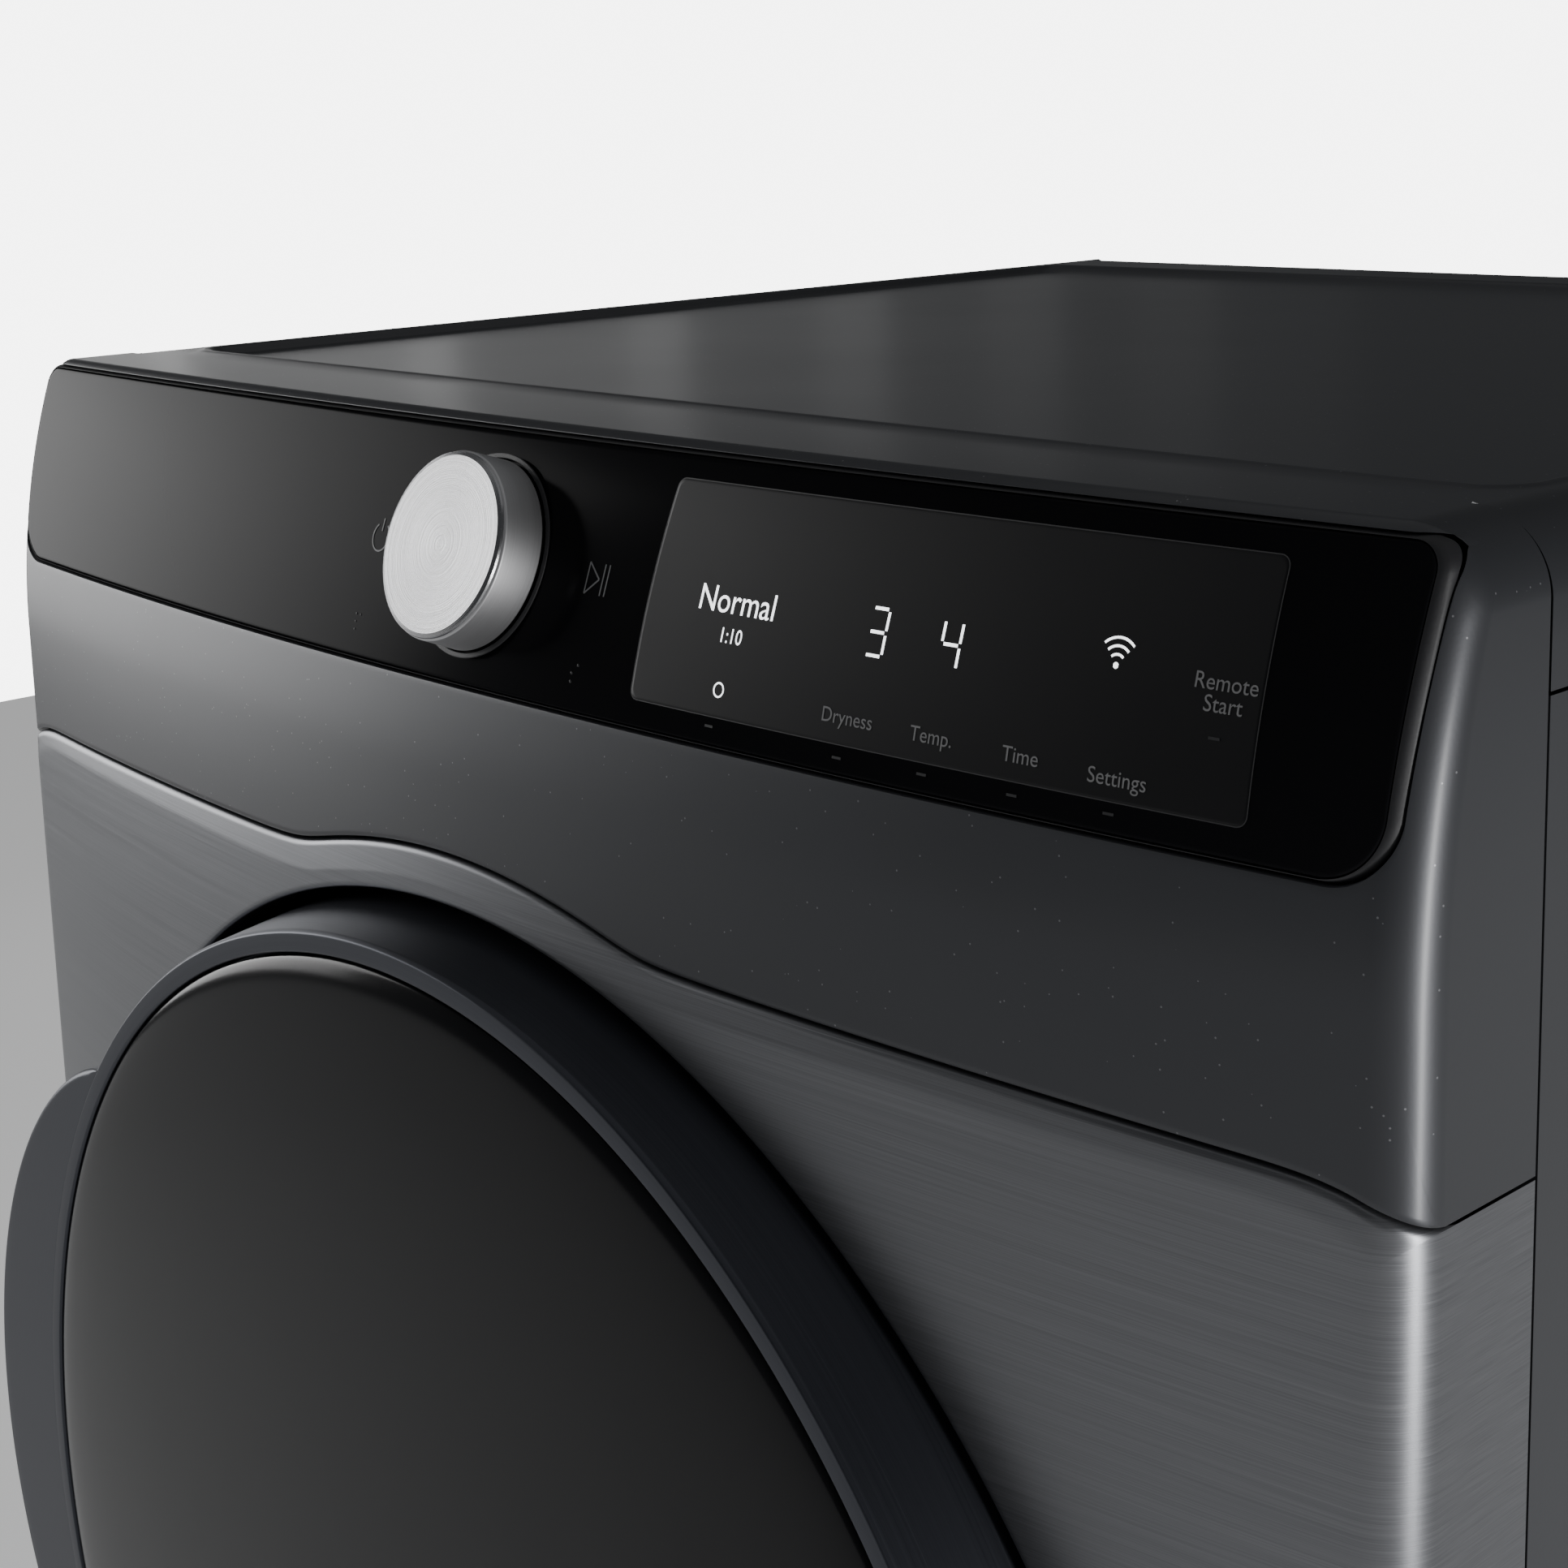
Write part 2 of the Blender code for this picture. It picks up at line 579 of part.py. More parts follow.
def make_cabinet():
    bent_side("left_side_panel", -1)
    bent_side("right_side_panel", 1)
    cover = prism("top_cover", top_outline(0), SEAM / 2, BODY_DEPTH, PAINT, smooth=30)
    inside = top_outline(SHEET)
    lowered = [(x, min(z, HEIGHT - TOP_PLATE)) for x, z in inside]
    hollow = [p for i, p in enumerate(lowered) if p != lowered[i - 1]]
    carve(cover, cutter("cover_inside", prism_mesh(hollow, -0.01, BODY_DEPTH - SHEET)))
    edge = HALF - RECESS_SIDE
    field = bmesh.new()
    bmesh.ops.create_cube(field, size=1.0)
    low = Vector((-edge, RECESS_FRONT, HEIGHT - RECESS))
    high = Vector((edge, BODY_DEPTH - RECESS_BACK, HEIGHT + 0.01))
    bmesh.ops.scale(field, vec=high - low, verts=field.verts)
    bmesh.ops.translate(field, vec=(low + high) / 2, verts=field.verts)
    uprights = [e for e in field.edges if abs(e.verts[0].co.z - e.verts[1].co.z) > 0.001]
    bmesh.ops.bevel(field, geom=uprights, offset=0.006, segments=3, profile=0.5, affect="EDGES")
    carve(cover, cutter("recess", mesh_from(field, "recess")))

    rear = block("rear_panel", (-HALF + SEAM, BODY_DEPTH - SHEET, FOOT_HEIGHT + 0.004),
                 (HALF - SEAM, BODY_DEPTH, HEIGHT - FLANGE - SEAM), ZINC)
    middle = rear.location
    hole = prism_mesh(circle(DUCT_X, DUCT_Z, DUCT_RADIUS + 0.002, 32), BODY_DEPTH - 0.05,
                      BODY_DEPTH + 0.05)
    carve(rear, cutter("rear_outlet", hole))
    slots = bmesh.new()
    for column in range(2):
        for row in range(6):
            x = -0.26 + column * 0.075
            z = middle.z - 0.03 + row * 0.014
            made = bmesh.ops.create_cube(slots, size=1.0)["verts"]
            bmesh.ops.scale(slots, vec=(0.06, 0.1, 0.005), verts=made)
            bmesh.ops.translate(slots, vec=(x, BODY_DEPTH, z), verts=made)
    carve(rear, cutter("air_slots", mesh_from(slots, "air_slots")))

    inner = HALF - SHEET - CLEAR
    y0, y1 = SEAM / 2 + SHEET + CLEAR, BODY_DEPTH - SHEET - CLEAR - SHEET - CLEAR
    pan = block("base_pan", (-inner, y0, FOOT_HEIGHT), (inner, y1, FOOT_HEIGHT + 0.022), ZINC)
    cut_block(pan, "pan_inside", (-inner + SHEET, y0 + SHEET, FOOT_HEIGHT + SHEET),
              (inner - SHEET, y1 - SHEET, FOOT_HEIGHT + 0.05))
    for side, x in (("left", -1), ("right", 1)):
        for end, y in (("front", 0.060), ("rear", BODY_DEPTH - 0.060)):
            turned("foot_" + side + "_" + end, [
                (0, 0), (0.020, 0), (0.022, 0.003), (0.021, 0.009), (0.010, 0.011),
                (0.010, FOOT_HEIGHT - CLEAR), (0, FOOT_HEIGHT - CLEAR)],
                (x * (HALF - 0.055), y, 0), RUBBER, 16, axis="Z")


make_cabinet()


# ---- Bulkheads ----
def make_bulkheads():
    half = HALF - BULKHEAD_SIDE
    y = BULKHEAD_FRONT
    front = block("front_bulkhead", (-half, y, BULKHEAD_LOW), (half, y + SHEET, BULKHEAD_HIGH), ZINC)
    outer = COLLAR_RADIUS + SHEET
    cut_round(front, "collar", DOOR_X, DOOR_Z, outer, y + SHEET / 2, COLLAR_BACK, LARGE_ROUND,
              "UNION")
    cut_round(front, "opening", DOOR_X, DOOR_Z, COLLAR_RADIUS, -0.05, 0.1, LARGE_ROUND)
    cut_block(front, "lint_notch",
              (DOOR_X - LINT_HALF_WIDTH - SEAM, y + SHEET + 0.0003, BULKHEAD_LOW - 0.01),
              (DOOR_X + LINT_HALF_WIDTH + SEAM, COLLAR_BACK + 0.01, DOOR_Z - 0.10))
    y = BULKHEAD_BACK
    rear = block("rear_bulkhead", (-half, y, BULKHEAD_LOW), (half, y + SHEET, BULKHEAD_HIGH), ZINC)
    cut_round(rear, "duct_pass", DUCT_X, DUCT_Z, DUCT_RADIUS + 0.002, y - 0.05, y + 0.05)
    holes = bmesh.new()
    for ring, count in ((0.08, 8), (0.15, 14)):
        for k in range(count):
            a = 2 * math.pi * k / count
            tool = bmesh.ops.create_cone(holes, cap_ends=True, segments=6, radius1=0.012,
                                         radius2=0.012, depth=0.1)["verts"]
            bmesh.ops.rotate(holes, matrix=Matrix.Rotation(math.pi / 2, 3, "X"), verts=tool)
            bmesh.ops.translate(holes, verts=tool, vec=(
                DOOR_X + ring * math.cos(a), y, DOOR_Z + ring * math.sin(a)))
    carve(rear, cutter("air_holes", mesh_from(holes, "air_holes")))
    cut_round(rear, "heat_pass", heater_x(), heater_z(), 0.045, y - 0.05, y + 0.05)


def heater_x():
    return HALF - 0.110


def heater_z():
    return 0.118


make_bulkheads()

# ---- Drum ----
DRUM = empty("drum_axis", (DOOR_X, (DRUM_FRONT + DRUM_BACK) / 2, DOOR_Z), MACHINE)


def make_drum():
    lip = COLLAR_RADIUS + SHEET + LIP_ROOM
    r, t = DRUM_RADIUS, DRUM_WALL
    half = (DRUM_BACK - DRUM_FRONT) / 2
    turned("drum", [
        (r, half), (r, -half), (lip, -half), (lip, -half + t), (r - t, -half + t),
        (r - t, half - t), (lip + 0.02, half - t), (lip + 0.02, half)],
        DRUM.location, DRUM_STEEL, LARGE_ROUND, DRUM)
    base = math.sqrt((r - t - BAFFLE_GAP) ** 2 - BAFFLE_HALF_WIDTH ** 2)
    for k in range(3):
        turn = Matrix.Rotation(2 * math.pi * k / 3 + 0.5, 4, "Y")
        points = [(-BAFFLE_HALF_WIDTH, -base), (BAFFLE_HALF_WIDTH, -base),
                  (0.020, -base + 0.6 * BAFFLE_HEIGHT),
                  (0.010, -base + BAFFLE_HEIGHT), (-0.010, -base + BAFFLE_HEIGHT),
                  (-0.020, -base + 0.6 * BAFFLE_HEIGHT)]
        mesh = prism_mesh(points, -half + 0.012, half - 0.012)
        mesh.transform(turn)
        add("drum_baffle_" + str(k + 1), mesh, GREY, DRUM.location, DRUM, 40)
    outer = COLLAR_RADIUS + SHEET
    turned("front_felt_seal", [
        (lip - FELT_ROOM, DRUM_FRONT + 0.008), (lip - FELT_ROOM, DRUM_FRONT - 0.0005),
        (outer + CLEAR, DRUM_FRONT - 0.0005), (outer + CLEAR, DRUM_FRONT + 0.008)],
        (DOOR_X, 0, DOOR_Z), FELT)
    turned("rear_felt_seal", [
        (r - 0.012, BULKHEAD_BACK - CLEAR), (r - 0.012, DRUM_BACK + CLEAR),
        (r - 0.040, DRUM_BACK + CLEAR), (r - 0.040, BULKHEAD_BACK - CLEAR)],
        (DOOR_X, 0, DOOR_Z), FELT)
    reach = DRUM_RADIUS + ROLLER_RADIUS + CLEAR
    y = DRUM_BACK - 0.035
    bore = ROLLER_SHAFT + CLEAR
    for side, sign in (("left", -1), ("right", 1)):
        a = math.radians(ROLLER_ANGLE)
        spot = (DOOR_X + sign * reach * math.sin(a), y, DOOR_Z - reach * math.cos(a))
        home = empty(side + "_roller_axis", spot, MACHINE)
        turned(side + "_roller", [
            (ROLLER_RADIUS, ROLLER_WIDTH / 2), (ROLLER_RADIUS, -ROLLER_WIDTH / 2),
            (bore, -ROLLER_WIDTH / 2), (bore, ROLLER_WIDTH / 2)], spot, GREY, SMALL_ROUND, home)
        turned(side + "_roller_shaft", [
            (0, BULKHEAD_BACK - y - CLEAR), (ROLLER_SHAFT, BULKHEAD_BACK - y - CLEAR),
            (ROLLER_SHAFT, -ROLLER_WIDTH / 2 - 0.006), (0, -ROLLER_WIDTH / 2 - 0.006)],
            spot, ZINC, SMALL_ROUND)


make_drum()


# ---- Drive ----
def belt_loop(grow):
    """Outline of a belt round the drum and the motor pulley, grown outwards by grow."""
    big, small = DRUM_RADIUS + BELT_GAP + grow, PULLEY_RADIUS + BELT_GAP + grow
    dx, dz = MOTOR_X - DOOR_X, MOTOR_Z - DOOR_Z
    apart = math.hypot(dx, dz)
    towards = math.degrees(math.atan2(dz, dx))
    spread = math.degrees(math.acos((big - small) / apart))
    round_drum = circle(DOOR_X, DOOR_Z, big, 60, towards + spread, towards + 360 - spread)
    round_pulley = circle(MOTOR_X, MOTOR_Z, small, 10, towards - spread, towards + spread)
    return round_drum + round_pulley


def idler_place():
    """Centre of the idler pulley, which presses on the outside of the belt's left side."""
    big, small = DRUM_RADIUS, PULLEY_RADIUS
    dx, dz = MOTOR_X - DOOR_X, MOTOR_Z - DOOR_Z
    towards = math.atan2(dz, dx)
    spread = math.acos((big - small) / math.hypot(dx, dz))
    outward = Vector((math.cos(towards - spread), math.sin(towards - spread)))
    along = Vector((outward.y, -outward.x))
    if along.y < 0:
        along = -along
    start = Vector((MOTOR_X, MOTOR_Z)) + outward * small
    reach = BELT_GAP + BELT_THICK + CLEAR + IDLER_RADIUS
    return start + along * IDLER_ALONG + outward * reach


def make_drive():
    y0, y1 = BELT_Y - BELT_WIDTH / 2, BELT_Y + BELT_WIDTH / 2
    belt = prism("drum_belt", belt_loop(BELT_THICK), y0, y1, RUBBER, smooth=30)
    carve(belt, cutter("belt_inside", prism_mesh(belt_loop(0), y0 - 0.01, y1 + 0.01)))

    centre = (MOTOR_X, 0, MOTOR_Z)
    home = empty("motor_axis", centre, MACHINE)
    bore = MOTOR_SHAFT + CLEAR
    body = turned("motor_body", [
        (MOTOR_RADIUS, MOTOR_BACK - 0.02), (MOTOR_RADIUS, MOTOR_FRONT + 0.02),
        (MOTOR_RADIUS - 0.018, MOTOR_FRONT), (bore, MOTOR_FRONT), (bore, MOTOR_BACK),
        (MOTOR_RADIUS - 0.018, MOTOR_BACK)], centre, COPPER, SMALL_ROUND)
    foot = block_mesh((MOTOR_X - 0.05, MOTOR_FRONT + 0.03, FOOT_HEIGHT + SHEET + CLEAR),
                      (MOTOR_X + 0.05, MOTOR_BACK - 0.03, MOTOR_Z - MOTOR_RADIUS * 0.7))
    carve(body, cutter("motor_foot", foot), "UNION")
    turned("motor_shaft", [
        (0, y1 + 0.010), (MOTOR_SHAFT, y1 + 0.010), (MOTOR_SHAFT, BLOWER_FRONT + 0.012),
        (0, BLOWER_FRONT + 0.012)], centre, ZINC, SMALL_ROUND, home)
    turned("motor_pulley", [
        (PULLEY_RADIUS + 0.003, y1 + 0.003), (PULLEY_RADIUS + 0.003, y1 + 0.001),
        (PULLEY_RADIUS, y1 + 0.001), (PULLEY_RADIUS, y0 - 0.001),
        (PULLEY_RADIUS + 0.003, y0 - 0.001), (PULLEY_RADIUS + 0.003, y0 - 0.003),
        (bore, y0 - 0.003), (bore, y1 + 0.003)], centre, ZINC, SMALL_ROUND, home)

    wheel_back, wheel_front = BLOWER_BACK - 0.012, BLOWER_FRONT + 0.016
    wheel = turned("blower_wheel", [
        (BLOWER_RADIUS, wheel_back), (BLOWER_RADIUS, wheel_back - 0.002),
        (0.014, wheel_back - 0.002), (0.014, wheel_back - 0.020), (bore, wheel_back - 0.020),
        (bore, wheel_back)], centre, BLACK, SMALL_ROUND, home)
    vanes = bmesh.new()
    for k in range(9):
        made = bmesh.ops.create_cube(vanes, size=1.0)["verts"]
        bmesh.ops.scale(vanes, vec=(0.020, wheel_back - 0.001 - wheel_front, 0.0022), verts=made)
        bmesh.ops.rotate(vanes, matrix=Matrix.Rotation(0.5, 3, "Y"), verts=made)
        bmesh.ops.translate(vanes, vec=(BLOWER_RADIUS - 0.0115, 0, 0), verts=made)
        bmesh.ops.rotate(vanes, matrix=Matrix.Rotation(math.tau * k / 9, 3, "Y"), verts=made)
        bmesh.ops.translate(vanes, verts=made, vec=(
            MOTOR_X, (wheel_back - 0.001 + wheel_front) / 2, MOTOR_Z))
    carve(wheel, cutter("vanes", mesh_from(vanes, "vanes")), "UNION")
    rim = turned("blower_rim_tool", [
        (BLOWER_RADIUS, wheel_front + 0.003), (BLOWER_RADIUS, wheel_front),
        (BLOWER_RADIUS - 0.018, wheel_front), (BLOWER_RADIUS - 0.018, wheel_front + 0.003)],
        centre, BLACK, SMALL_ROUND)
    PARTS.objects.unlink(rim)
    CUTTERS.objects.link(rim)
    rim.hide_render, rim.display_type = True, "WIRE"
    carve(wheel, rim, "UNION")


def make_blower_housing():
    right = DUCT_X + DUCT_RADIUS + SHEET
    low = DUCT_Z - DUCT_RADIUS - SHEET
    high = DUCT_Z + DUCT_RADIUS + SHEET

    def scroll(inset):
        arc = circle(MOTOR_X, MOTOR_Z, SCROLL_RADIUS - inset, 30, 12, 278)
        return arc + [(right - inset, low + inset), (right - inset, high - inset)]

    wall = 0.002
    case = prism("blower_housing", scroll(0), BLOWER_FRONT, BLOWER_BACK, BLACK, smooth=30)
    inside = prism_mesh(scroll(wall), BLOWER_FRONT + wall, BLOWER_BACK - wall)
    carve(case, cutter("scroll_inside", inside))
    cut_round(case, "inlet", MOTOR_X, MOTOR_Z, 0.045, BLOWER_FRONT - 0.01, BLOWER_FRONT + 0.01)
    cut_round(case, "shaft_pass", MOTOR_X, MOTOR_Z, 0.012, BLOWER_BACK - 0.01, BLOWER_BACK + 0.01)
    cut_round(case, "outlet", DUCT_X, DUCT_Z, DUCT_RADIUS - SHEET, BLOWER_BACK - 0.01,
              BLOWER_BACK + 0.01)
    turned("exhaust_duct", [
        (DUCT_RADIUS, BODY_DEPTH + DUCT_OUT), (DUCT_RADIUS, BLOWER_BACK + CLEAR),
        (DUCT_RADIUS - SHEET, BLOWER_BACK + CLEAR), (DUCT_RADIUS - SHEET, BODY_DEPTH + DUCT_OUT)],
        (DUCT_X, 0, DUCT_Z), ZINC, 32)


def make_idler():
    spot = idler_place()
    y0, y1 = BELT_Y - BELT_WIDTH / 2, BELT_Y + BELT_WIDTH / 2
    arm_y0, arm_y1 = y1 + 0.004, y1 + 0.009
    pivot = Vector((spot.x - 0.030, FOOT_HEIGHT + 0.070))
    arm_home = empty("idler_arm_axis", (pivot.x, 0, pivot.y), MACHINE)
    wheel_home = empty("idler_axis", (spot.x, 0, spot.y), MACHINE)
    pin = 0.0040
    turned("idler_pulley", [
        (IDLER_RADIUS, y1 + 0.002), (IDLER_RADIUS, y0 - 0.002), (pin + CLEAR, y0 - 0.002),
        (pin + CLEAR, y1 + 0.002)], (spot.x, 0, spot.y), BLACK, SMALL_ROUND, wheel_home)
    lean = math.degrees(math.atan2(spot.y - pivot.y, spot.x - pivot.x))
    bar = (circle(spot.x, spot.y, 0.010, 10, lean - 90, lean + 90)
           + circle(pivot.x, pivot.y, 0.012, 10, lean + 90, lean + 270))
    arm = prism("idler_arm", bar, arm_y0, arm_y1, ZINC, home=arm_home)
    cut_round(arm, "idler_stub", spot.x, spot.y, pin, y0 - 0.005, arm_y0 + 0.001, 20, "UNION")
    cut_round(arm, "idler_bore", pivot.x, pivot.y, pin + CLEAR, arm_y0 - 0.01, arm_y1 + 0.01, 20)
    bracket = block("idler_bracket", (pivot.x - 0.018, arm_y1 + 0.001, FOOT_HEIGHT + SHEET + CLEAR),
                    (pivot.x + 0.018, arm_y1 + 0.004, pivot.y + 0.016), ZINC)
    cut_round(bracket, "idler_pin", pivot.x, pivot.y, pin, arm_y0 - 0.002, arm_y1 + 0.003, 20,
              "UNION")


def make_heater():
    x, z = heater_x(), heater_z()
    y0, y1 = 0.220, BULKHEAD_BACK - 0.020
    case = block("heater_housing", (x - 0.060, y0, z - 0.060), (x + 0.060, y1, z + 0.060), ZINC)
    cut_block(case, "heater_inside", (x - 0.060 + SHEET, y0 - 0.01, z - 0.060 + SHEET),
              (x + 0.060 - SHEET, y1 - SHEET, z + 0.060 - SHEET))
    cut_round(case, "heater_outlet", x, z, 0.045, y1 - 0.01, y1 + 0.01)
    curve = bpy.data.curves.new("heater_path", "CURVE")
    curve.dimensions = "3D"
    curve.bevel_depth = 0.0035
    curve.bevel_resolution = 1
    curve.use_fill_caps = True
    line = curve.splines.new("POLY")
    turns, points = 4, []
    for k in range(turns * 10 + 1):
        a = math.tau * k / 10
        points.append((x + 0.032 * math.cos(a), y0 + 0.06 + 0.045 * a / math.tau,
                       z + 0.032 * math.sin(a)))
    line.points.add(len(points) - 1)
    for point, co in zip(line.points, points):
        point.co = (*co, 1.0)
    coil = bpy.data.objects.new("heater_element", curve)
    PARTS.objects.link(coil)
    coil.parent = MACHINE
    curve.materials.append(COPPER)

    y0, y1 = BULKHEAD_BACK + SHEET + CLEAR, BODY_DEPTH - SHEET - CLEAR
    low, high = heater_z() - 0.050, DOOR_Z + 0.190
    duct = block("rear_air_duct", (DOOR_X - 0.190, y0, DOOR_Z - 0.190), (x + 0.050, y1, high), ZINC)
    cut_block(duct, "duct_inside", (DOOR_X - 0.190 + SHEET, y0 - 0.01, DOOR_Z - 0.190 + SHEET),
              (x + 0.050 - SHEET, y1 - SHEET, high - SHEET))
    cut_block(duct, "duct_leg", (x - 0.050, y0, low), (x + 0.050, y1, DOOR_Z - 0.150), "UNION")
    cut_block(duct, "leg_inside", (x - 0.050 + SHEET, y0 - 0.01, low + SHEET),
              (x + 0.050 - SHEET, y1 - SHEET, DOOR_Z - 0.140))


make_drive()
make_blower_housing()
make_idler()
make_heater()


# ---- Lint filter, sensor, lamp ----
def make_air_front():
    x0, x1 = DOOR_X - LINT_HALF_WIDTH, DOOR_X + LINT_HALF_WIDTH
    top = DOOR_Z - math.sqrt(COLLAR_RADIUS ** 2 - LINT_HALF_WIDTH ** 2) - SEAM
    low = BULKHEAD_LOW + 0.006
    wall = 0.002
    duct = block("lint_duct", (x0, LINT_FRONT, low), (x1, LINT_BACK, top), BLACK)
    cut_block(duct, "lint_inside", (x0 + wall, LINT_FRONT + wall, low + wall),
              (x1 - wall, LINT_BACK - wall, top + 0.01))
    cut_round(duct, "lint_outlet", MOTOR_X, MOTOR_Z, 0.045, LINT_BACK - 0.01, LINT_BACK + 0.01)
    y0, y1 = FILTER_FRONT, FILTER_FRONT + FILTER_THICK
    side = LINT_HALF_WIDTH - wall - 0.004
    screen = block("lint_filter", (DOOR_X - side, y0, top - FILTER_DROP),
                   (DOOR_X + side, y1, top - 0.002), GREY)
    holes = bmesh.new()
    for k in range(5):
        width = 2 * side / 5
        made = bmesh.ops.create_cube(holes, size=1.0)["verts"]
        bmesh.ops.scale(holes, vec=(width - 0.010, 0.1, FILTER_DROP - 0.05), verts=made)
        bmesh.ops.translate(holes, verts=made, vec=(
            DOOR_X - side + width * (k + 0.5), y0, top - 0.005 - FILTER_DROP / 2))
    carve(screen, cutter("filter_windows", mesh_from(holes, "filter_windows")))
    cut_block(screen, "filter_grip", (DOOR_X - 0.040, y0 + 0.002, top - 0.010),
              (DOOR_X + 0.040, y1 - 0.002, top + 0.012), "UNION")
    low = COLLAR_RADIUS - 0.0016
    bars = block_mesh((-0.015, BULKHEAD_FRONT + 0.020, -low), (0.015, BULKHEAD_FRONT + 0.040, 0.004 - low))
    bars.transform(Matrix.Rotation(0.80, 4, "Y"))
    add("moisture_sensor", bars, ZINC, (DOOR_X, 0, DOOR_Z))
    a = math.radians(62)
    turned("drum_lamp", [
        (0, 0), (0.013, 0), (0.013, -0.006), (0.008, -0.010), (0, -0.011)],
        (DOOR_X + (COLLAR_RADIUS + 0.030) * math.cos(a), BULKHEAD_FRONT - CLEAR,
         DOOR_Z + (COLLAR_RADIUS + 0.030) * math.sin(a)), CLEAR_GLASS, 24)
    block("terminal_cover", (-HALF + 0.06, BODY_DEPTH + CLEAR, HEIGHT - FLANGE - 0.13),
          (-HALF + 0.15, BODY_DEPTH + 0.016, HEIGHT - FLANGE - 0.05), ZINC)


make_air_front()

# ---- Door ----
HINGE_AT = (DOOR_X + OPENING_RADIUS + HINGE_REACH, -HINGE_FORWARD, DOOR_Z)
DOOR = empty("door_axis", HINGE_AT, MACHINE)


def handle_reach(angle):
    """Radius of the grip's outer edge at an angle in degrees, widest level with the door's middle."""
    off = (180 - angle) / HANDLE_HALF_ANGLE
    swell = max(0.0, 1 - off * off) ** 0.8
    return OPENING_RADIUS - DOOR_GAP - RING_TAPER + HANDLE_REACH * swell


def make_door():
    outer = OPENING_RADIUS - DOOR_GAP
    rim = outer - RING_TAPER
    inner = rim - RIM_WIDTH
    front, back = -RING_FRONT, -RING_BACK
    seat = -RING_FRONT + 0.0080
    centre = (DOOR_X, 0, DOOR_Z)
    turned("door_ring", [
        (outer, back), (outer, back - 0.012), (rim + 0.0006, front + 0.0022), (rim - 0.0012, front),
        (inner + 0.0010, front), (inner, front + 0.0010), (inner, seat), (inner - 0.010, seat),
        (inner - 0.010, seat + 0.003), (rim - RING_WALL, seat + 0.003),
        (outer - RING_WALL, back - 0.012), (outer - RING_WALL, back)],
        centre, RING_METAL, LARGE_ROUND, DOOR)
    edge = inner - CLEAR
    face = [(edge * math.cos(t), -GLASS_RIM - GLASS_DOME * math.sin(t))
            for t in [math.pi / 2 * (1 - k / 6) ** 1.5 for k in range(7)]]
    face[0] = (0.0, face[0][1])
    rear = [(r, y + GLASS_THICK) for r, y in face[::-1]]
    turned("door_glass", face + rear, centre, SMOKED, LARGE_ROUND, DOOR)

    liner_back = BULKHEAD_FRONT - 0.024
    bowl = WINDOW_RADIUS
    turned("door_liner", [
        (outer - CLEAR, back + CLEAR), (outer - 0.016, back + 0.010), (bowl + 0.030, liner_back),
        (bowl + 0.004, liner_back), (bowl + 0.004, liner_back - 0.003),
        (bowl + 0.028, liner_back - 0.003), (outer - 0.018, back + 0.0065),
        (outer - 0.004, back + CLEAR)], centre, GREY, LARGE_ROUND, DOOR)
    turned("door_bowl", [
        (0, BULKHEAD_FRONT + 0.001), (bowl * 0.60, BULKHEAD_FRONT + 0.001),
        (bowl * 0.82, BULKHEAD_FRONT - 0.006), (bowl, liner_back - 0.004),
        (bowl + 0.010, liner_back - 0.0035), (bowl + 0.010, liner_back - 0.0065),
        (bowl - 0.002, liner_back - 0.0065), (bowl * 0.81, BULKHEAD_FRONT - 0.010),
        (bowl * 0.60, BULKHEAD_FRONT - 0.003), (0, BULKHEAD_FRONT - 0.003)],
        centre, CLEAR_GLASS, LARGE_ROUND, DOOR)
    seal = COLLAR_RADIUS + 0.006
    turned("door_seal", [
        (seal + 0.005, BULKHEAD_FRONT - CLEAR), (seal + 0.009, liner_back + CLEAR),
        (seal, liner_back + CLEAR), (seal + 0.002, BULKHEAD_FRONT - CLEAR)],
        centre, RUBBER, LARGE_ROUND, DOOR)

    start, stop = 180 - HANDLE_HALF_ANGLE + 1, 180 + HANDLE_HALF_ANGLE - 1
    inside = rim + 0.0006 + RING_TAPER * HANDLE_THICK / (RING_FRONT - RING_BACK - 0.012) + CLEAR
    steps = 28
    rounds = [start + (stop - start) * k / steps for k in range(steps + 1)]
    points = []
    for angle in rounds:
        reach = max(handle_reach(angle), inside + 0.0015)
        points.append((DOOR_X + reach * math.cos(math.radians(angle)),
                       DOOR_Z + reach * math.sin(math.radians(angle))))
    for angle in rounds[::-1]:
        points.append((DOOR_X + inside * math.cos(math.radians(angle)),
                       DOOR_Z + inside * math.sin(math.radians(angle))))
    grip_back = -RING_FRONT + HANDLE_THICK
    prism("door_handle", points, -RING_FRONT, grip_back, RING_METAL, home=DOOR, smooth=30)


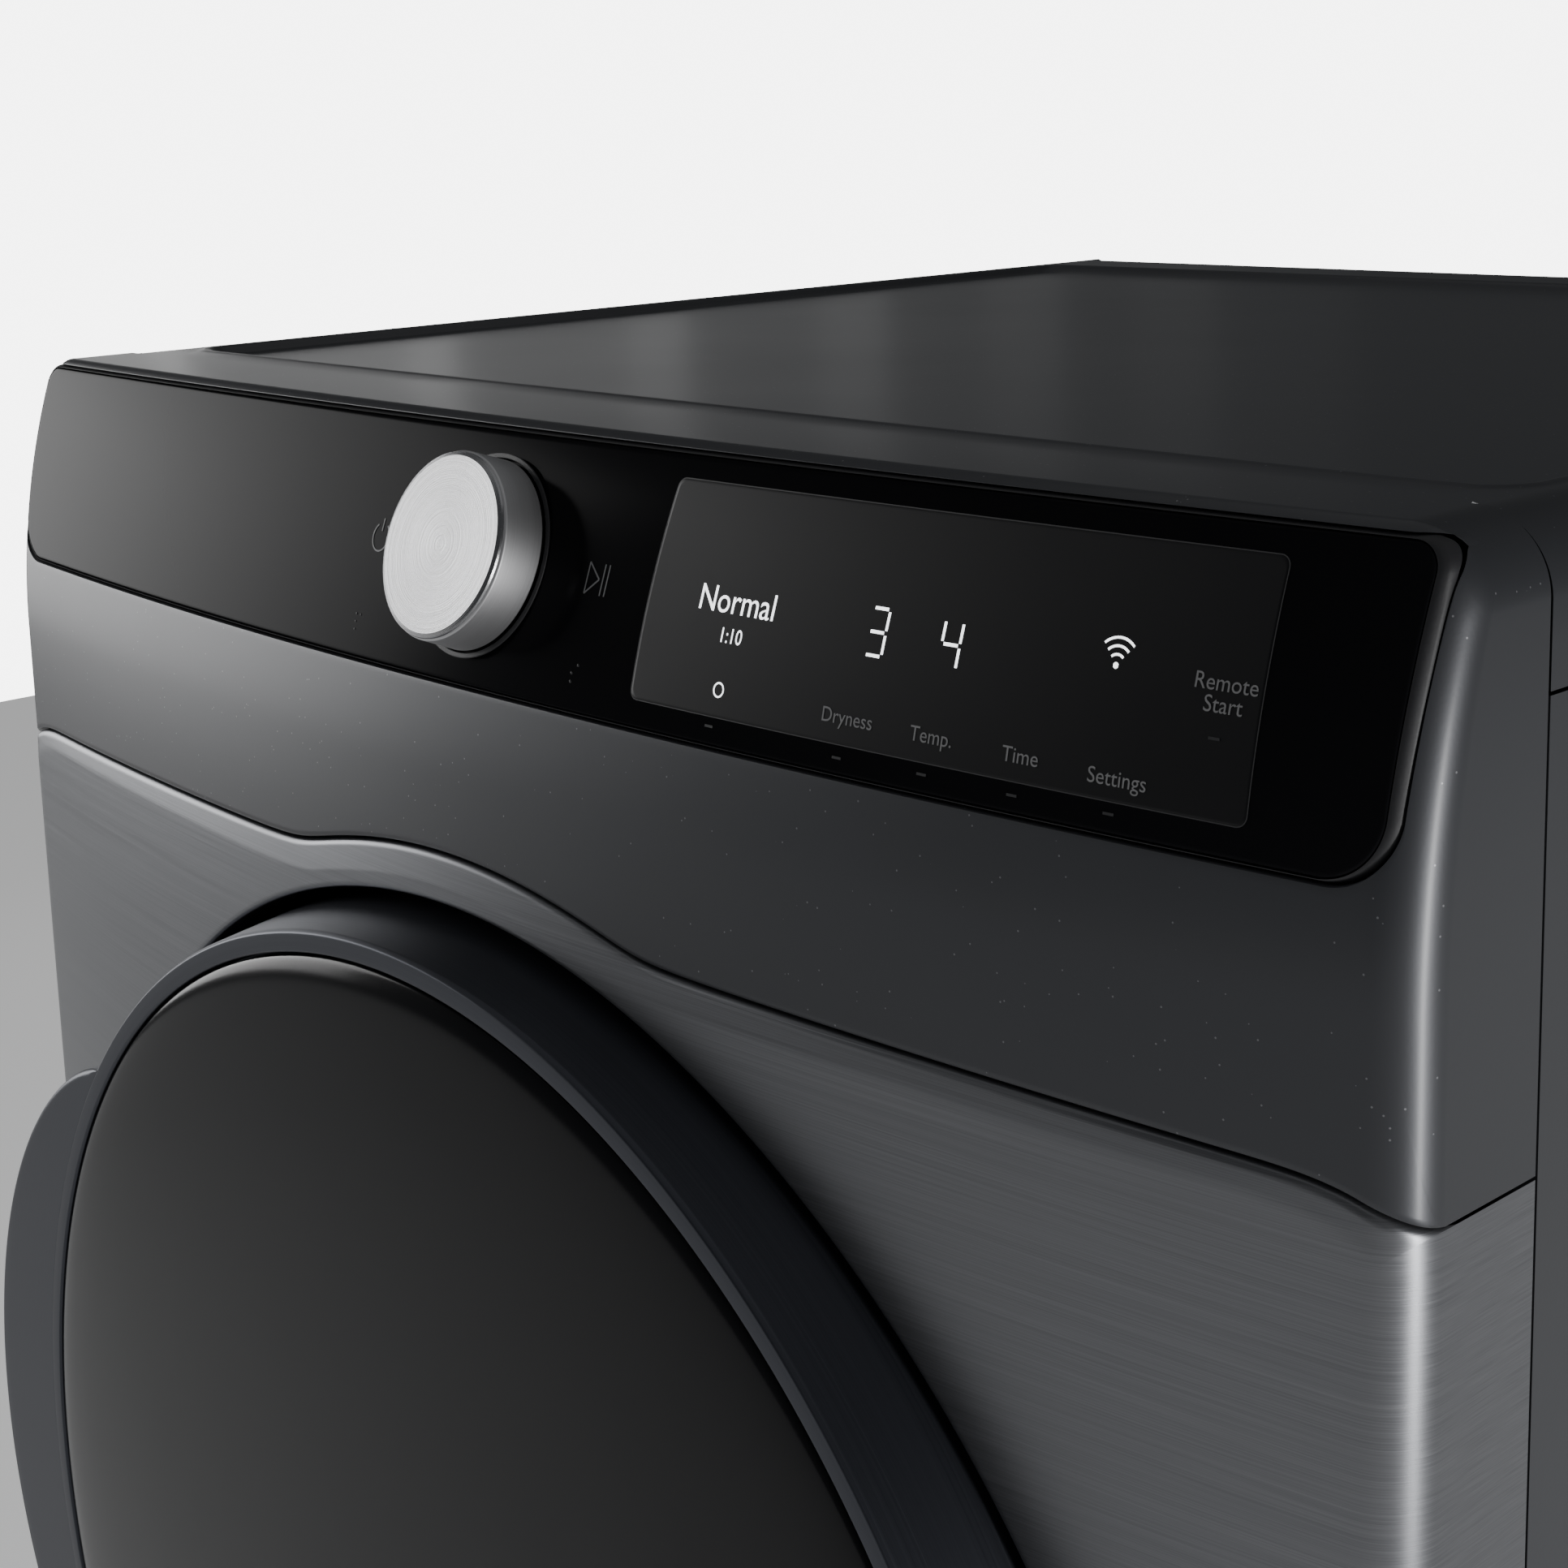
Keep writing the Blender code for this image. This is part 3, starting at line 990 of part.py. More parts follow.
def make_latch_and_hinge():
    x = DOOR_X - COLLAR_RADIUS - 0.047
    liner = -RING_BACK + 0.016
    block("door_strike", (x - 0.0020, liner, DOOR_Z - 0.008), (x + 0.0020, 0.006, DOOR_Z + 0.008),
          ZINC, DOOR)
    catch = block("door_catch", (x - 0.013, -0.006, DOOR_Z - 0.020),
                  (x + 0.013, BULKHEAD_FRONT - CLEAR, DOOR_Z + 0.020), BLACK)
    cut_block(catch, "catch_slot", (x - 0.008, -0.02, DOOR_Z - 0.012),
              (x + 0.006, BULKHEAD_FRONT - 0.003, DOOR_Z + 0.012))

    hx, hy = HINGE_AT[0], HINGE_AT[1]
    half, leaf = HINGE_HALF_HEIGHT, 0.030
    knuckle = PIN_RADIUS + 0.0036
    opening = DOOR_X + OPENING_RADIUS
    bracket = block("hinge_bracket", (opening - 0.0005, hy, DOOR_Z - half),
                    (opening + 2 * HINGE_REACH - SEAM, BULKHEAD_FRONT - CLEAR, DOOR_Z + half), ZINC)

    def upright(radius, low, high, steps=24):
        return prism_mesh(circle(hx, hy, radius, steps), low, high, "Z")

    carve(bracket, cutter("knuckles", upright(knuckle + 0.0030, DOOR_Z - half, DOOR_Z + half)), "UNION")
    swing = HINGE_REACH + DOOR_GAP + 0.0145
    cut_block(bracket, "leaf_room", (hx - 0.05, hy - 0.05, DOOR_Z - leaf - CLEAR),
              (hx + 0.05, hy + swing, DOOR_Z + leaf + CLEAR))
    carve(bracket, cutter("hinge_bore", upright(PIN_RADIUS + CLEAR, DOOR_Z - 2 * half,
                                                DOOR_Z + 2 * half)))
    pin = upright(PIN_RADIUS, DOOR_Z - half, DOOR_Z + half)
    pin.transform(Matrix.Translation((-hx, -hy, -DOOR_Z)))
    add("hinge_pin", pin, ZINC, HINGE_AT, smooth=30)

    ring_edge = DOOR_X + OPENING_RADIUS - DOOR_GAP + CLEAR
    leaf_piece = block("door_hinge_leaf", (ring_edge, hy - 0.004, DOOR_Z - leaf),
                       (hx, hy + 0.006, DOOR_Z + leaf), RING_METAL, DOOR)
    barrel = cutter("leaf_barrel", upright(knuckle, DOOR_Z - leaf, DOOR_Z + leaf))
    carve(leaf_piece, barrel, "UNION")
    carve(leaf_piece, cutter("leaf_bore", upright(PIN_RADIUS + CLEAR, DOOR_Z - half,
                                                  DOOR_Z + half)))


make_door()
make_latch_and_hinge()
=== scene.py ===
# %% [markdown]
# # Dressing a front-loading clothes dryer
# The working model says where every part sits and how it moves. This lesson gives it its looks:
# large skins are rebuilt finely, printed marks are added, and every part that stays gets a finish.
# The working model is loaded first, because each new piece takes its place from it.

# %% Load the working model
import json
import math
import bmesh
import bpy
from mathutils import Matrix, Vector


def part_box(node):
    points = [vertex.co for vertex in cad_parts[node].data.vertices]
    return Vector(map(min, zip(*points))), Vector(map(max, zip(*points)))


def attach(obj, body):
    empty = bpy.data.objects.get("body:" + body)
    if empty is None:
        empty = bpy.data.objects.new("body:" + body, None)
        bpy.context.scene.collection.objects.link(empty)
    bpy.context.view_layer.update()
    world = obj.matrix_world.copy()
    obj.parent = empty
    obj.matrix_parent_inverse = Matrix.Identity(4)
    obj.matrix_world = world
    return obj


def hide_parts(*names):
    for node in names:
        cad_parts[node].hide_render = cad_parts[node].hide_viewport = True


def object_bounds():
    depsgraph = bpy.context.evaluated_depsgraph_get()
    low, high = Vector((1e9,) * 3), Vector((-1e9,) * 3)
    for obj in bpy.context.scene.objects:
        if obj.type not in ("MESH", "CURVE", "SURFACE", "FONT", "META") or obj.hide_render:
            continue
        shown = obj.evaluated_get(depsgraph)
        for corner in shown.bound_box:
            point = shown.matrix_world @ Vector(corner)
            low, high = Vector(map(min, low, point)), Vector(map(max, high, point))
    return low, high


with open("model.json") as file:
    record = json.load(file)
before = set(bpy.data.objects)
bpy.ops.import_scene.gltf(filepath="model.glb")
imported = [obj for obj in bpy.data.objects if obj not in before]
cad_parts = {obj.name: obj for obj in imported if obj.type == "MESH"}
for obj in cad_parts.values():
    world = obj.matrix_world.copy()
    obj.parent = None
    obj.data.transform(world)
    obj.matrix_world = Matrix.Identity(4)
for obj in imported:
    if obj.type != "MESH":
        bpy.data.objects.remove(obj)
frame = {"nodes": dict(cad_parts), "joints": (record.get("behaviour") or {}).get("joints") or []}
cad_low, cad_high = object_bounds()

print("nodes:", len(frame["nodes"]), "size:", [round(v, 4) for v in cad_high - cad_low])

# %% [markdown]
# ## Sizes
# The outer sizes are read from the working model. The front is one gently domed surface, fullest
# near the middle of the door and leaning back at the control panel. One formula gives it, so the
# frame, the glass, the panel and every printed mark lie on the same surface.

# %% The cabinet's sizes and the domed front
HALF = cad_high.x
HEIGHT = cad_high.z
SEAM = 0.001  # gap between neighbouring skins
SEAM_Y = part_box("left_side_panel")[0].y - SEAM / 2
BODY_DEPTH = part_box("rear_panel")[1].y - SEAM_Y
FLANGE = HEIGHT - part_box("top_cover")[0].z
CORNER = 0.020  # outline, seen from the front
SIDE_ROUND = 0.013  # upright front edges
TOP_ROUND = 0.004  # level front edges
FRONT_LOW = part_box("lower_front_panel")[0].z

EDGE_DEPTH = 0.0515  # seam to front surface along both sides
LEAN_BAND = 0.109  # height of the band that leans back
LEAN = 0.0215  # how far its top edge leans
DOME = 0.0375  # how far the middle stands before the sides
DOME_Z = 0.580
DOME_UP = 0.470  # reach of the dome above and below its middle
DOME_DOWN = 0.560
FORWARD, UPWARD = (0, -1, 0), (0, 0, 1)
TINY = 1e-6


def front_depth(x, z):
    """How far the front surface stands in front of the seam."""
    lean = max(0.0, (z - HEIGHT + LEAN_BAND) / LEAN_BAND)
    fade = DOME_UP if z > DOME_Z else DOME_DOWN
    along = max(0.0, 1 - ((z - DOME_Z) / fade) ** 2)
    return EDGE_DEPTH - LEAN * lean ** 2 + DOME * along * (1 - (x / HALF) ** 2)


def on_front(x, z, proud=0.0):
    return Vector((x, SEAM_Y - front_depth(x, z) - proud, z))


print("front stands", round(front_depth(0, DOME_Z), 4), "m before the seam at its fullest")

# %% [markdown]
# ## Turning a shape into a finished piece
# Every piece ends the same way: its mesh gets smooth shading with sharp edges kept, it rides on
# the body it moves with, and the parts of the working model it stands for are hidden. One helper
# does this.

# %% Finish a piece
SMOOTH_ANGLE = 38
MERGE = 2e-6


def finish_piece(name, shape, material, body, slot, stands_for=(), facing=None,
                 smooth=SMOOTH_ANGLE):
    """Make a bmesh a finished, named piece."""
    bmesh.ops.remove_doubles(shape, verts=shape.verts, dist=MERGE)
    bmesh.ops.recalc_face_normals(shape, faces=shape.faces)
    if facing:
        toward = sum(f.normal.dot(Vector(facing)) * f.calc_area() for f in shape.faces)
        if toward < 0:
            bmesh.ops.reverse_faces(shape, faces=shape.faces)
    mesh = bpy.data.meshes.new(name)
    shape.to_mesh(mesh)
    shape.free()
    mesh.shade_smooth()
    mesh.set_sharp_from_angle(angle=math.radians(smooth))
    mesh.materials.append(material)
    piece = bpy.data.objects.new(name, mesh)
    bpy.context.scene.collection.objects.link(piece)
    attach(piece, body)
    if stands_for:
        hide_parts(*stands_for)
    print("made", name, len(mesh.polygons), "faces")


def front_piece(name, shape, material, slot, *stands_for):
    finish_piece(name, shape, material, "cabinet", slot, stands_for, FORWARD)


# %% [markdown]
# ## Sheets laid by a rule
# Cutting a domed skin from a solid leaves ragged shading on a glossy surface. Here every corner of
# a flat grid asks a rule where it belongs, so the grid's lines follow the real edges and
# reflections run clean.

# %% A grid laid by a rule
def laid(columns, rows, rule, into=None):
    """A grid whose corner in column i and row j goes where rule(i, j) says."""
    shape = into or bmesh.new()
    made = bmesh.ops.create_grid(shape, x_segments=columns, y_segments=rows, size=0.5)
    for vert in made["verts"]:
        i = round((vert.co.x + 0.5) * columns)
        j = round((vert.co.y + 0.5) * rows)
        vert.co = rule(i, j)
    return shape


def arc_points(x, z, radius, start, stop, steps):
    """Points on an arc, the last one left out so that the next stretch can begin there."""
    angles = [math.radians(start + (stop - start) * k / steps) for k in range(steps)]
    return [(x + radius * math.cos(a), z + radius * math.sin(a)) for a in angles]


def between(a, b, share):
    """The point at a share of the way from a to b."""
    return a[0] + (b[0] - a[0]) * share, a[1] + (b[1] - a[1]) * share


def run(a, b, steps):
    """Points from a towards b, b itself left out."""
    return [between(a, b, k / steps) for k in range(steps)]


def crowded(rings):
    """Shares from 0 to 1 that crowd together at both ends."""
    return [0.5 - 0.5 * math.cos(math.pi * k / rings) for k in range(rings + 1)]


def rolled(distance, radius):
    """How far a rounded edge falls away at a distance inside it."""
    reach = max(0.0, radius - max(0.0, distance))
    return radius - math.sqrt(max(0.0, radius ** 2 - reach ** 2))


# %% [markdown]
# ## Finishes as Python sums
# A finish is a small net of nodes. Writing each Math node by hand hides the idea, so a socket is
# wrapped in a class whose operators add the nodes: `0.3 + 0.1 * streak` reads as it works.
# Patterns use Object coordinates in metres, so a scale of 1000 means one cell per millimetre.

# %% Wrap a socket, and write a finish
class Wire:
    """A node's output that can be used in Python sums."""

    def __init__(self, finish, socket):
        self.finish = finish
        self.socket = socket

    def sum(self, operation, first, second=0.0):
        return self.finish.node("ShaderNodeMath", {"operation": operation}, {0: first, 1: second})

    def __add__(self, other):
        return self.sum("ADD", self, other)

    def __mul__(self, other):
        return self.sum("MULTIPLY", self, other)

    def __gt__(self, other):
        return self.sum("GREATER_THAN", self, other)

    def __lt__(self, other):
        return self.sum("LESS_THAN", self, other)

    __radd__, __rmul__ = __add__, __mul__


class Finish:
    """A material: a Principled shader and the nodes that feed it."""

    def __init__(self, name, colour, roughness, metallic=0.0, **settings):
        self.material = bpy.data.materials.new(name)
        self.material.use_nodes = True
        self.tree = self.material.node_tree
        self.shader = self.tree.nodes["Principled BSDF"]
        self.set("Base Color", (*colour, 1.0))
        self.set("Roughness", roughness)
        self.set("Metallic", metallic)
        for key, value in settings.items():
            self.set(key.replace("_", " ").title().replace("Ior", "IOR"), value)
        self.place = self.node("ShaderNodeTexCoord", {}, {}, "Object")
        print("finish", name)

    def feed(self, socket, value):
        if isinstance(value, Wire):
            self.tree.links.new(value.socket, socket)
        else:
            socket.default_value = value

    def set(self, key, value):
        self.feed(self.shader.inputs[key], value)

    def node(self, kind, settings, inputs, output=0):
        made = self.tree.nodes.new(kind)
        for key, value in settings.items():
            setattr(made, key, value)
        for key, value in inputs.items():
            self.feed(made.inputs[key], value)
        return Wire(self, made.outputs[output])

    def vector(self, operation, first, second=(0.0, 0.0, 0.0), output="Vector"):
        settings = {"operation": operation}
        return self.node("ShaderNodeVectorMath", settings, {0: first, 1: second}, output)

    def noise(self, scale, detail=2.0, stretch=(1, 1, 1), at=None):
        spot = self.vector("MULTIPLY", at or self.place, stretch)
        inputs = {"Vector": spot, "Scale": scale, "Detail": detail}
        return self.node("ShaderNodeTexNoise", {}, inputs)

    def mix(self, factor, first, second):
        ends = [v if isinstance(v, Wire) else (*v, 1.0) for v in (first, second)]
        inputs = {0: factor, 6: ends[0], 7: ends[1]}
        return self.node("ShaderNodeMix", {"data_type": "RGBA"}, inputs, 2)

    def bump(self, height, depth, strength=1.0):
        inputs = {"Strength": strength, "Distance": depth, "Height": height}
        self.set("Normal", self.node("ShaderNodeBump", {}, inputs))


# %% [markdown]
# ## The cabinet's paint
# The cabinet is sprayed in dark graphite with a little metal in it. Up close it shows rare bright
# flakes and a faint ripple in its clear coat. A Voronoi pattern makes the flakes: each cell has a
# random colour, and only the rarest are lit.

# %% Graphite paint
FLECK_CELLS = 800.0
FLECK_RARITY = 0.975
FLECK_SIZE = 0.22


def graphite_paint():
    made = Finish("graphite_paint", (0.050, 0.052, 0.058), 0.42, 0.45,
                  coat_weight=0.25, coat_roughness=0.22)
    cells = {"Vector": made.place, "Scale": FLECK_CELLS}
    near = made.node("ShaderNodeTexVoronoi", {}, cells, "Distance")
    pick = made.node("ShaderNodeTexVoronoi", {}, cells, "Color")
    chance = made.node("ShaderNodeSeparateColor", {}, {0: pick}, 0)
    fleck = (chance > FLECK_RARITY) * (near < FLECK_SIZE)
    cloud = made.noise(7.0, 3.0)
    tone = made.mix(cloud, (0.044, 0.046, 0.052), (0.056, 0.058, 0.064))
    made.set("Base Color", made.mix(fleck * 0.40, tone, (0.42, 0.42, 0.44)))
    made.set("Roughness", 0.38 + 0.08 * cloud)
    made.bump(made.noise(900.0, 1.0), 0.00003, 0.35)
    return made.material


PAINT = graphite_paint()

# %% [markdown]
# ## Brushed steel
# The lower panel is tinted steel, brushed level. Brushing is noise stretched along the stroke:
# long in X, very short in Z. It changes the colour a little, the roughness more, and the height
# slightly, which breaks up a reflection into fine lines.

# %% Dark brushed steel
LONG_STROKE = 0.23


def brushed_steel(name, dark, light, stretch, rough=0.34, metallic=0.85):
    made = Finish(name, dark, rough, metallic)
    fine = made.noise(1.0, 3.0, stretch)
    long = made.noise(1.0, 2.0, tuple(v * LONG_STROKE for v in stretch))
    streak = 0.8 * fine + 0.2 * long
    made.set("Base Color", made.mix(streak, dark, light))
    made.set("Roughness", (rough - 0.10) + 0.20 * streak)
    made.bump(streak, 0.00006, 0.30)
    return made.material


BRUSHED = brushed_steel("dark_brushed_steel", (0.105, 0.108, 0.117), (0.270, 0.275, 0.288),
                        (9.0, 60.0, 4200.0))

# %% [markdown]
# ## Round brushing
# The door's rim and the dial's cap are brushed in circles. The material works out the distance
# from the axis with a cross product, and noise on that distance gives rings. Tiny rings in the
# normal spread a highlight across the grooves.

# %% Finishes turned about an axis
def ringed(name, centre, axis, dark, light, rough, metallic, pitch, depth, swirl=3.0):
    made = Finish(name, dark, rough, metallic)
    arm = made.vector("SUBTRACT", made.place, tuple(centre))
    across = made.vector("LENGTH", made.vector("CROSS_PRODUCT", arm, tuple(axis)), output="Value")
    along = made.vector("DOT_PRODUCT", arm, tuple(axis), output="Value")
    spot = made.node("ShaderNodeCombineXYZ", {}, {0: across * pitch, 1: along * pitch})
    wander = made.vector("ADD", spot, made.vector("MULTIPLY", arm, (swirl, swirl, swirl)))
    rings = made.node("ShaderNodeTexNoise", {}, {"Vector": wander, "Scale": 1.0, "Detail": 3.0})
    made.set("Base Color", made.mix(rings, dark, light))
    made.set("Roughness", (rough - 0.05) + 0.10 * rings)
    made.bump(rings, depth, 0.5)
    return made.material


drum_low, drum_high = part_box("drum")
DOOR_X = (drum_low.x + drum_high.x) / 2
DOOR_Z = (drum_low.z + drum_high.z) / 2
DOOR_CENTRE = Vector((DOOR_X, SEAM_Y, DOOR_Z))
LEVEL = (0.0, 1.0, 0.0)
RING_METAL = ringed("door_ring_metal", DOOR_CENTRE, LEVEL, (0.044, 0.047, 0.058),
                    (0.072, 0.076, 0.090), 0.38, 0.80, 2600.0, 0.00004)
dial_joint = next(j for j in frame["joints"] if j["name"] == "dial_turn")
DIAL_AXIS = Vector(dial_joint["axis"]).normalized()
DIAL_CENTRE = Vector(dial_joint["pos_m"])
SPUN = ringed("spun_aluminium", DIAL_CENTRE, DIAL_AXIS, (0.40, 0.40, 0.41), (0.55, 0.55, 0.56),
              0.22, 1.0, 5200.0, 0.00012, 0.4)
DIAL_SIDE = ringed("dial_side_metal", DIAL_CENTRE, DIAL_AXIS, (0.48, 0.48, 0.49),
                   (0.62, 0.62, 0.63), 0.50, 1.0, 4000.0, 0.00004)

# %% [markdown]
# ## Glass, plastics and inner metals
# The control panel and the door are black glass: almost no colour, a clean gloss and the faintest
# unevenness. Plastics have a fine grain, zinc sheet has large soft crystals, and felt and rubber
# are rough. One helper makes the plain ones from their grain.

# %% The other finishes
def grained(name, colour, rough, grain, depth, metallic=0.0, spread=0.15, **settings):
    made = Finish(name, colour, rough, metallic, **settings)
    cloud = made.noise(grain, 3.0)
    low = tuple(c * (1 - spread) for c in colour)
    high = tuple(c * (1 + spread) for c in colour)
    made.set("Base Color", made.mix(cloud, low, high))
    made.set("Roughness", (rough - 0.04) + 0.08 * cloud)
    made.bump(cloud, depth, 0.5)
    return made.material


def gloss(name, colour, rough, alpha=1.0, **settings):
    made = Finish(name, colour, rough, 0.0, **settings)
    film = made.noise(18.0, 3.0)
    made.set("Roughness", rough + 0.03 * film)
    if alpha < 1:
        made.set("Alpha", (alpha - 0.02) + 0.04 * film)
    return made.material


def zinc_sheet():
    made = Finish("zinc_sheet", (0.50, 0.51, 0.52), 0.42, 0.85)
    crystal = made.node("ShaderNodeTexVoronoi", {}, {"Vector": made.place, "Scale": 90.0}, "Color")
    shade = made.node("ShaderNodeSeparateColor", {}, {0: crystal}, 0)
    made.set("Base Color", made.mix(shade, (0.44, 0.45, 0.46), (0.60, 0.61, 0.62)))
    made.set("Roughness", 0.34 + 0.16 * shade)
    return made.material


def circuit_board():
    made = Finish("circuit_board", (0.02, 0.14, 0.07), 0.35, 0.0, coat_weight=0.4)
    cells = {"Vector": made.place, "Scale": 260.0}
    near = made.node("ShaderNodeTexVoronoi", {"distance": "CHEBYCHEV"}, cells, "Distance")
    track = near < 0.16
    made.set("Base Color", made.mix(track, (0.02, 0.14, 0.07), (0.45, 0.34, 0.14)))
    made.set("Metallic", track * 0.8)
    return made.material


BLACK_GLASS = gloss("black_panel_glass", (0.0070, 0.0070, 0.0080), 0.15, ior=1.10)
WINDOW_GLASS = gloss("display_window_glass", (0.0060, 0.0060, 0.0070), 0.38, ior=1.35)
SMOKED = gloss("smoked_door_glass", (0.006, 0.006, 0.007), 0.12, 0.90, ior=1.34)
CLEAR = gloss("clear_bowl_glass", (0.42, 0.45, 0.47), 0.08, 0.38)
BLACK = grained("black_plastic", (0.016, 0.016, 0.018), 0.50, 1400.0, 0.00004)
GREY = grained("grey_plastic", (0.28, 0.29, 0.30), 0.52, 1100.0, 0.00004, spread=0.05)
RUBBER = grained("black_rubber", (0.018, 0.018, 0.018), 0.74, 700.0, 0.00008)
FELT = grained("wool_felt", (0.40, 0.38, 0.34), 0.93, 1600.0, 0.00050, spread=0.25)
MOTOR = grained("motor_grey", (0.19, 0.20, 0.21), 0.45, 500.0, 0.00006, 0.6)
ZINC = zinc_sheet()
BOARD = circuit_board()
STAINLESS = ringed("stainless_drum", DOOR_CENTRE, LEVEL, (0.50, 0.50, 0.50), (0.66, 0.66, 0.65),
                   0.30, 1.0, 1500.0, 0.00004)
LIT = Finish("lit_segment", (0.9, 0.9, 0.9), 0.5, emission_strength=2.5,
             emission_color=(0.95, 0.97, 1.0, 1.0)).material
PRINT = grained("grey_print", (0.22, 0.22, 0.225), 0.5, 900.0, 0.00001)
HAIRLINE = grained("dark_hairline", (0.030, 0.030, 0.032), 0.5, 900.0, 0.00001)
print("finishes in all:", len(bpy.data.materials))

# %% [markdown]
# ## The painted upper frame
# This skin runs from the control panel's outline out to the cabinet's top and sides and, below, to
# the joint with the brushed panel. A grid is laid from one edge to the other. One formula makes
# the joint dip sideways and rise over the door.

# %% Outlines of the panel and of the frame
OPENING = 0.2788
BUMP = 0.016  # the joint passes this far above the door's opening
BUMP_BLEND = 0.004
DIVIDER_Z = 0.8358
DIVIDER_FALL = 0.0282
DIVIDER_DROP = 0.0095  # how much lower the joint ends at the corners
DIVIDER_BEND = 0.290  # where that drop begins
PANEL_HALF_TOP = 0.3382
PANEL_HALF_LOW = 0.3362
PANEL_TOP = 0.0022  # below the cabinet's top
PANEL_HEIGHT = 0.0790
PANEL_ROUND_TOP = 0.008
PANEL_ROUND_LOW = 0.018
RIM_TOP = 0.0012
RIM_SIDE = 3 * RIM_TOP
ALONG, UPRIGHT, TURN = 240, 40, 32
FOOT_RISE = 0.004 + CORNER


def divider(x):
    """Height of the joint between the painted frame and the brushed panel."""
    out = (min(abs(x), HALF) - DIVIDER_BEND) / (HALF - DIVIDER_BEND)
    straight = DIVIDER_Z - DIVIDER_FALL * x * x - DIVIDER_DROP * max(0.0, out) ** 4
    bump = DOOR_Z + math.sqrt(max(0.0, (OPENING + BUMP) ** 2 - (x - DOOR_X) ** 2))
    return (straight + bump + math.sqrt((straight - bump) ** 2 + BUMP_BLEND ** 2)) / 2


def beside_joint(places, side):
    """Points half a seam above (side 1) or below (side -1) the joint."""
    return [(x, divider(x) + side * SEAM / 2) for x in places]


def corner_places(steps):
    """Places in X round the lower corner, closer together towards the side."""
    return [HALF - CORNER + CORNER * math.sin(math.pi / 2 * k / steps) for k in range(steps)]


def rounded(middle, half_low, half_top, low, top, r, q, counts):
    """A rounded outline from its lower left corner, r round below and q round above."""
    along, upright, turn = counts
    points = (run((-half_low + r, low), (half_low - r, low), along)
              + arc_points(half_low - r, low + r, r, -90, 0, turn)
              + run((half_low, low + r), (half_top, top - q), upright)
              + arc_points(half_top - q, top - q, q, 0, 90, turn)
              + run((half_top - q, top), (-half_top + q, top), along)
              + arc_points(-half_top + q, top - q, q, 90, 180, turn)
              + run((-half_top, top - q), (-half_low, low + r), upright)
              + arc_points(-half_low + r, low + r, r, 180, 270, turn))
    return [(middle + x, z) for x, z in points]


def panel_loop(side, edge):
    """The control panel's outline, drawn in by two insets."""
    top = HEIGHT - PANEL_TOP - edge
    low = HEIGHT - PANEL_TOP - PANEL_HEIGHT + edge
    return rounded(0.0, PANEL_HALF_LOW - side, PANEL_HALF_TOP - side, low, top,
                   PANEL_ROUND_LOW - edge, PANEL_ROUND_TOP - edge, (ALONG, UPRIGHT, TURN))


def frame_loop():
    """The frame's outer edge, point for point beside panel_loop."""
    c = CORNER
    foot = divider(HALF) + SEAM / 2
    corner = beside_joint(corner_places(TURN // 2), 1)
    corner += run((HALF, foot), (HALF, foot + FOOT_RISE), TURN // 2)
    level = [x for x, z in run((-HALF + c, 0), (HALF - c, 0), ALONG)]
    return (beside_joint(level, 1) + corner
            + run((HALF, foot + FOOT_RISE), (HALF, HEIGHT - c), UPRIGHT)
            + arc_points(HALF - c, HEIGHT - c, c, 0, 90, TURN)
            + run((HALF - c, HEIGHT), (-HALF + c, HEIGHT), ALONG)
            + arc_points(-HALF + c, HEIGHT - c, c, 90, 180, TURN)
            + run((-HALF, HEIGHT - c), (-HALF, foot + FOOT_RISE), UPRIGHT)
            + [(-x, z) for x, z in corner[::-1]])


print("points in each outline:", len(panel_loop(0, 0)), len(frame_loop()))

# %% [markdown]
# ## Rounding the skin's edges
# A pressed skin has no sharp edge. The rule takes each point's distance from every edge and lets
# the surface roll away there: 13 mm round at the sides, 4 mm along the top, 1 mm at the joint and
# half that at the opening. The fine roll gives a joint's bright line.

# %% Lay the upper frame
FINE_ROLL = 0.0011
WALL = 0.0040  # how far a skin's edge turns back
FRAME_RINGS = 26


def edge_fall(x, inside):
    """How far the rounded outer edges fall away at x, this far inside the level edge."""
    side = HALF - abs(x)
    if side < CORNER and inside < CORNER:
        dx, dz = CORNER - side, CORNER - inside
        away = math.hypot(dx, dz)
        reach, sideways = CORNER - away, (dx / away) ** 2
    else:
        reach, sideways = min(side, inside), float(side <= inside)
    return rolled(reach, TOP_ROUND + (SIDE_ROUND - TOP_ROUND) * sideways)


def at_joint(spot, side):
    """Whether a point of an outline lies beside the joint."""
    inside = abs(spot[0]) < HALF - TINY
    return inside and abs(spot[1] - divider(spot[0]) - side * SEAM / 2) < TINY


def upper_frame():
    inner, outer = panel_loop(0, 0), frame_loop()
    count, shares = len(inner), crowded(FRAME_RINGS)

    def rule(i, j):
        a, b = inner[i % count], outer[i % count]
        t = shares[min(max(j - 1, 0), FRAME_RINGS)]
        x, z = between(a, b, t)
        joint = at_joint(b, 1)
        fall = edge_fall(x, HEIGHT - z) + rolled(math.dist(a, b) * t, FINE_ROLL / 2)
        if joint:
            fall += rolled(z - divider(x) - SEAM / 2, FINE_ROLL)
        spot = on_front(x, z, -fall)
        if j == 0:
            spot.y += WALL
        if j == FRAME_RINGS + 2:
            spot.y = spot.y + WALL if joint else SEAM_Y - SEAM / 2
        return spot

    return laid(count, FRAME_RINGS + 2, rule)


front_piece("painted_front_frame", upper_frame(), PAINT, "graphite_paint", "front_frame")

# %% [markdown]
# ## The brushed lower panel
# Every ray from the middle of the door meets the opening once and the panel's outer edge once, so
# a grid runs along the rays. Its rings crowd together near both edges, where the sheet rolls over.
# A notch at the right clears the hinge.

